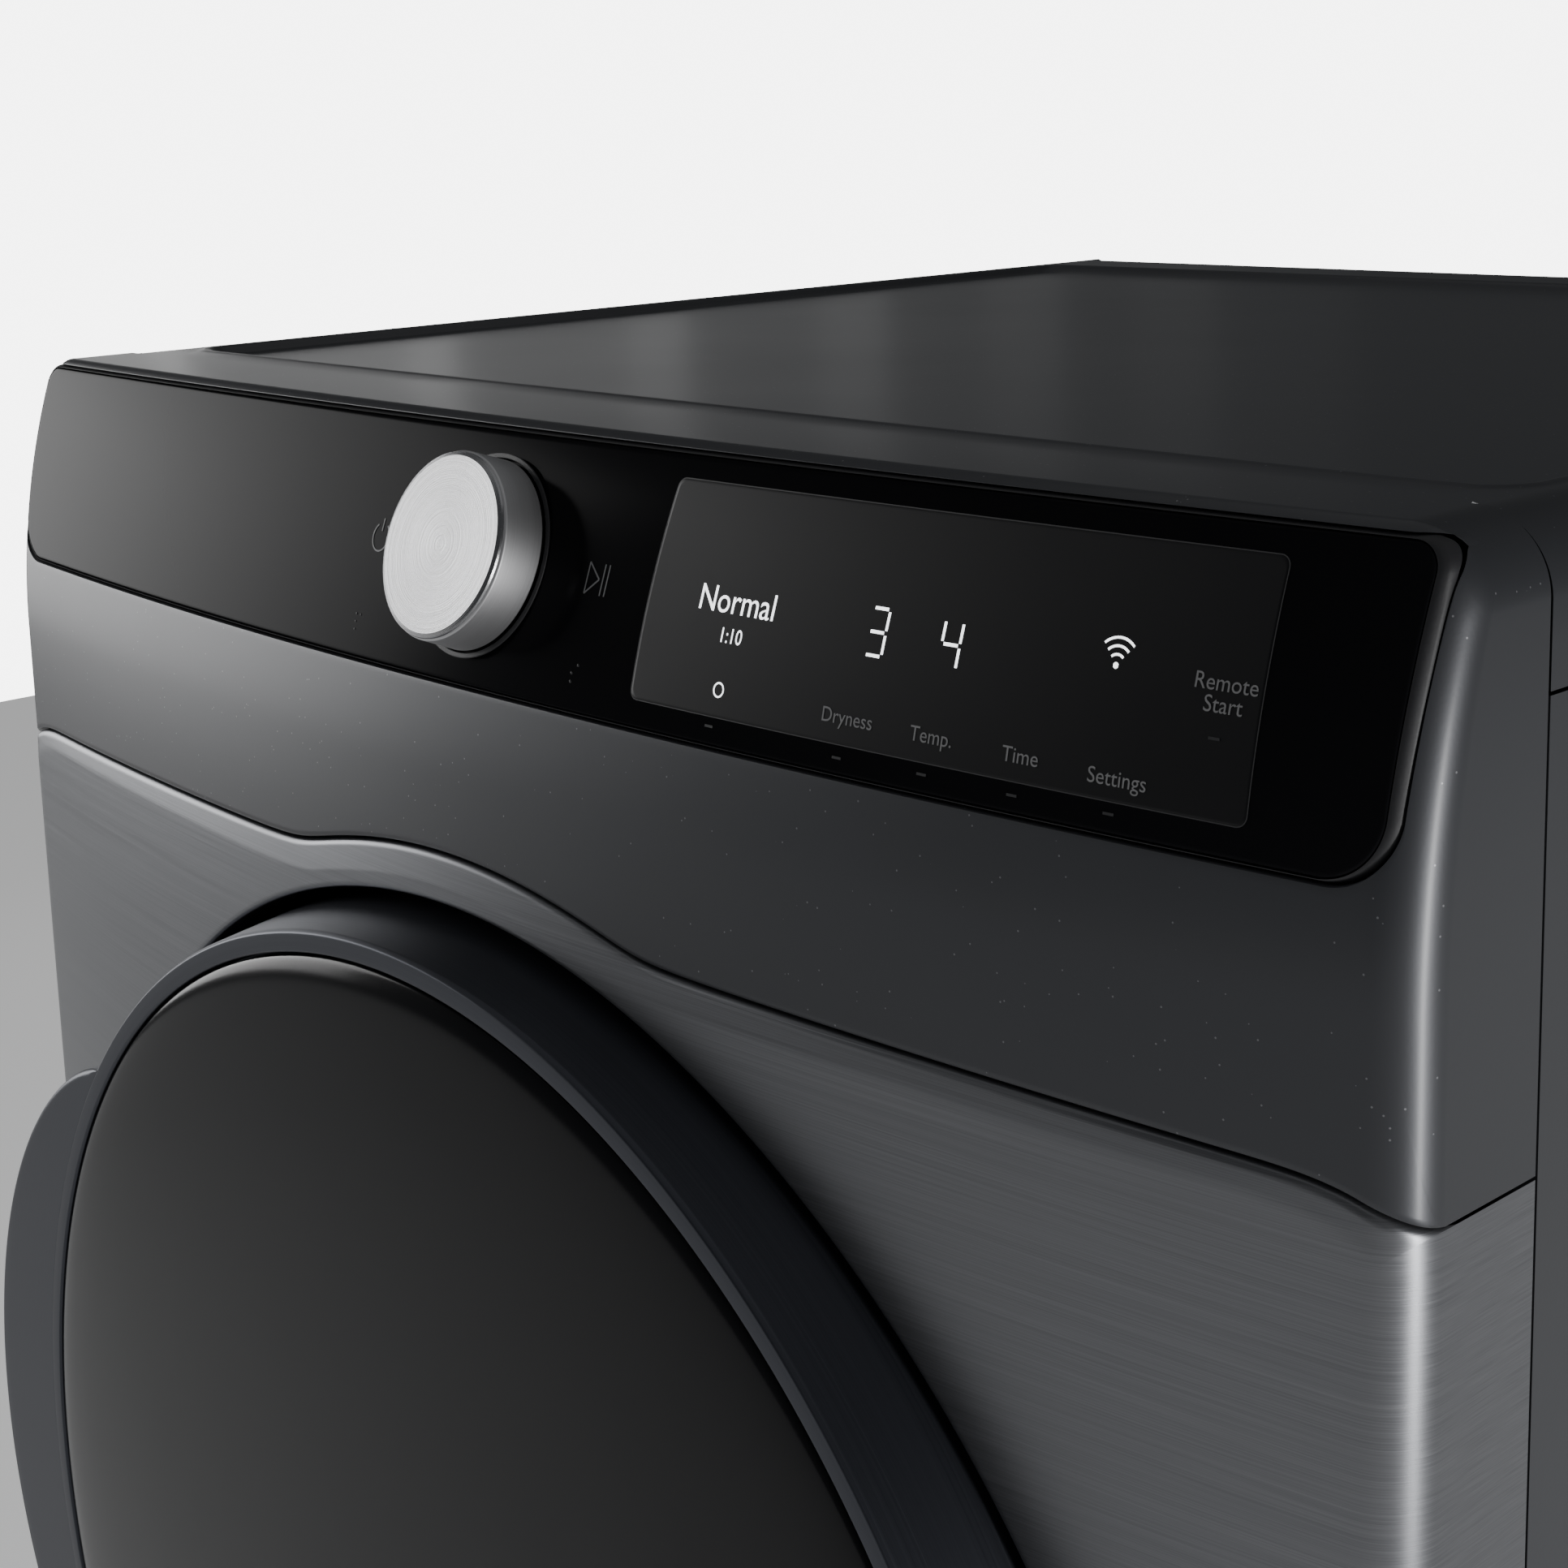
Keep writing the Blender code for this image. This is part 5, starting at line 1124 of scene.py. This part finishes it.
# %% [markdown]
# ## The drum
# The drum is one sheet of stainless steel rolled into a shell, narrowed at both ends. It turns in
# the felt with almost no room, so its radius and ends come from the working model.

# %% Turn the drum
DRUM = (drum_high.x - drum_low.x) / 2
DRUM_FRONT, DRUM_BACK = drum_low.y - SEAM_Y, drum_high.y - SEAM_Y
SHEET = 0.0015
DRUM_BEND = 0.004
LIP = 0.230
inside_bend = DRUM_BEND + 0.001
shell = [(LIP + 0.02, DRUM_BACK), (DRUM - DRUM_BEND, DRUM_BACK), (DRUM, DRUM_BACK - DRUM_BEND),
         (DRUM, DRUM_FRONT + DRUM_BEND), (DRUM - DRUM_BEND, DRUM_FRONT), (LIP, DRUM_FRONT),
         (LIP, DRUM_FRONT + SHEET), (DRUM - inside_bend, DRUM_FRONT + SHEET),
         (DRUM - SHEET, DRUM_FRONT + inside_bend), (DRUM - SHEET, DRUM_BACK - inside_bend),
         (DRUM - inside_bend, DRUM_BACK - SHEET), (LIP + 0.02, DRUM_BACK - SHEET)]
door_piece("stainless_drum_shell", shell, STAINLESS, "stainless_steel", "drum", "drum", smooth=50)

# %% [markdown]
# ## Finishes for the parts that stay
# The other parts of the working model keep their shapes. Each gets the finish of what it is made
# of, put in the material slot it already has.

# %% Give each kept part its finish
KEPT = [
    (PAINT, "left_side_panel right_side_panel hinge_bracket"),
    (BLACK, "display_module door_catch blower_housing blower_wheel lint_duct idler_pulley "
            "dial_encoder"),
    (BOARD, "control_board"),
    (ZINC, "rear_panel base_pan front_bulkhead rear_bulkhead exhaust_duct heater_housing "
           "rear_air_duct terminal_cover idler_bracket idler_arm left_roller_shaft "
           "right_roller_shaft motor_shaft motor_pulley hinge_pin door_strike dial_shaft "
           "moisture_sensor"),
    (GREY, "drum_baffle_1 drum_baffle_2 drum_baffle_3 left_roller right_roller lint_filter"),
    (RUBBER, "foot_left_front foot_left_rear foot_right_front foot_right_rear drum_belt"),
    (FELT, "front_felt_seal rear_felt_seal"),
    (MOTOR, "motor_body heater_element"),
    (RING_METAL, "door_hinge_leaf"),
    (CLEAR, "drum_lamp"),
]
for material, names in KEPT:
    for name in names.split():
        frame["nodes"][name].material_slots[0].material = material
    print(material.name, "on", names)

# %% [markdown]
# ## The floor
# The dryer stands on a plain pale floor. It gives off a little light of its own, which keeps it
# pale under weak lamps and lifts the dark paint.

# %% Lay the floor
FLOOR_HALF = 3.8
FLOOR_GLOW = 0.37


def pale_floor():
    made = Finish("pale_floor", (0.86, 0.86, 0.86), 0.75, emission_strength=FLOOR_GLOW,
                  emission_color=(1.0, 1.0, 1.0, 1.0))
    made.set("Roughness", 0.70 + 0.10 * made.noise(3.0))
    shape = bmesh.new()
    bmesh.ops.create_grid(shape, x_segments=8, y_segments=8, size=FLOOR_HALF)
    mesh = bpy.data.meshes.new("floor")
    shape.to_mesh(mesh)
    shape.free()
    mesh.materials.append(made.material)
    piece = bpy.data.objects.new("floor", mesh)
    bpy.context.scene.collection.objects.link(piece)


pale_floor()

# %% [markdown]
# ## The lights
# Dark gloss is lit by what it reflects. A broad light at the left runs along the dome, and a row
# of ever weaker strips behind it makes the top fade towards the back. A weak one lies overhead,
# and a narrow one at the right lights the front's corner.

# %% Hang the lights
def soft_light(name, at, toward, wide, tall, power, spread=180):
    lamp = bpy.data.lights.new(name, "AREA")
    lamp.shape = "RECTANGLE"
    lamp.size, lamp.size_y = wide, tall
    lamp.energy = power
    lamp.spread = math.radians(spread)
    piece = bpy.data.objects.new(name, lamp)
    piece.location = at
    piece.rotation_euler = (Vector(toward) - Vector(at)).to_track_quat("-Z", "Y").to_euler()
    bpy.context.scene.collection.objects.link(piece)
    print(name, round(power, 3), "W")


LEFT_X, STRIPS, STRIP_STEP, STRIP_FADE = -2.6, 7, 0.45, 0.55
soft_light("left_light", (LEFT_X, SEAM_Y - 0.80, 1.25), (0.0, SEAM_Y, 0.80), 1.8, 1.7, 6.5, 60)
for step in range(STRIPS):
    place = (LEFT_X, 0.75 + STRIP_STEP * step, 1.22 + 0.05 * step)
    soft_light("low_left_strip_" + str(step + 1), place, (0, 0.1, 0.98), STRIP_STEP, 0.6,
               1.3 * STRIP_FADE ** step)
soft_light("overhead_light", (0, 0, 4.2), (0, 0, 0), 5.0, 5.0, 16)
soft_light("side_light", (2.1, SEAM_Y - 0.20, 0.35), (0.34, SEAM_Y, 0.8), 0.24, 1.1, 4.2, 60)

# %% [markdown]
# ## The world
# The world is white where the camera sees it, but dim where a surface reflects it, so dark paint
# stays dark before a pale background. A Light Path node tells the two apart.

# %% Make the world
WORLD_SEEN = 6.0
WORLD_REFLECTED = 0.07
world = bpy.data.worlds.new("studio")
world.use_nodes = True
tree = world.node_tree
tree.nodes.clear()
sight = tree.nodes.new("ShaderNodeLightPath")
choose, out = tree.nodes.new("ShaderNodeMixShader"), tree.nodes.new("ShaderNodeOutputWorld")
tree.links.new(sight.outputs["Is Camera Ray"], choose.inputs[0])
for k, colour, strength in ((1, (0.93, 0.96, 1.0, 1), WORLD_REFLECTED),
                            (2, (1, 1, 1, 1), WORLD_SEEN)):
    sky = tree.nodes.new("ShaderNodeBackground")
    sky.inputs["Color"].default_value = colour
    sky.inputs["Strength"].default_value = strength
    tree.links.new(sky.outputs[0], choose.inputs[k])
tree.links.new(choose.outputs[0], out.inputs["Surface"])
bpy.context.scene.world = world
print("world strengths:", WORLD_SEEN, WORLD_REFLECTED)

# %% [markdown]
# ## The camera
# The camera stands off the right front corner, a little above the top, and looks down along the
# front. It is rolled by less than two degrees, and its lens is shifted so that the machine's
# corner fills the upper part of the frame.

# %% Aim the camera
IMAGE = 1932
SENSOR = 36.0
FOCAL = 3095.3  # in widths of the image divided by IMAGE
YAW, PITCH, ROLL = 0.8381, 0.1851, -0.0300
SHIFT = -0.1382
look = Vector((-math.sin(YAW) * math.cos(PITCH), math.cos(YAW) * math.cos(PITCH),
               -math.sin(PITCH)))
level = look.cross(Vector(UPWARD)).normalized()
raised = level.cross(look)
right = level * math.cos(ROLL) + raised * math.sin(ROLL)
up = raised * math.cos(ROLL) - level * math.sin(ROLL)
turn = Matrix((right, up, -look)).transposed().to_4x4()
eye = Vector((0.6433, SEAM_Y - 0.5058, 1.0817))
lens = bpy.data.cameras.new("view")
lens.sensor_width = SENSOR
lens.lens = FOCAL * SENSOR / IMAGE
lens.shift_y = SHIFT
lens.clip_start = 0.01
camera = bpy.data.objects.new("view", lens)
camera.matrix_world = Matrix.Translation(eye) @ turn
bpy.context.scene.collection.objects.link(camera)
bpy.context.scene.camera = camera
print("lens", round(lens.lens, 2), "mm")
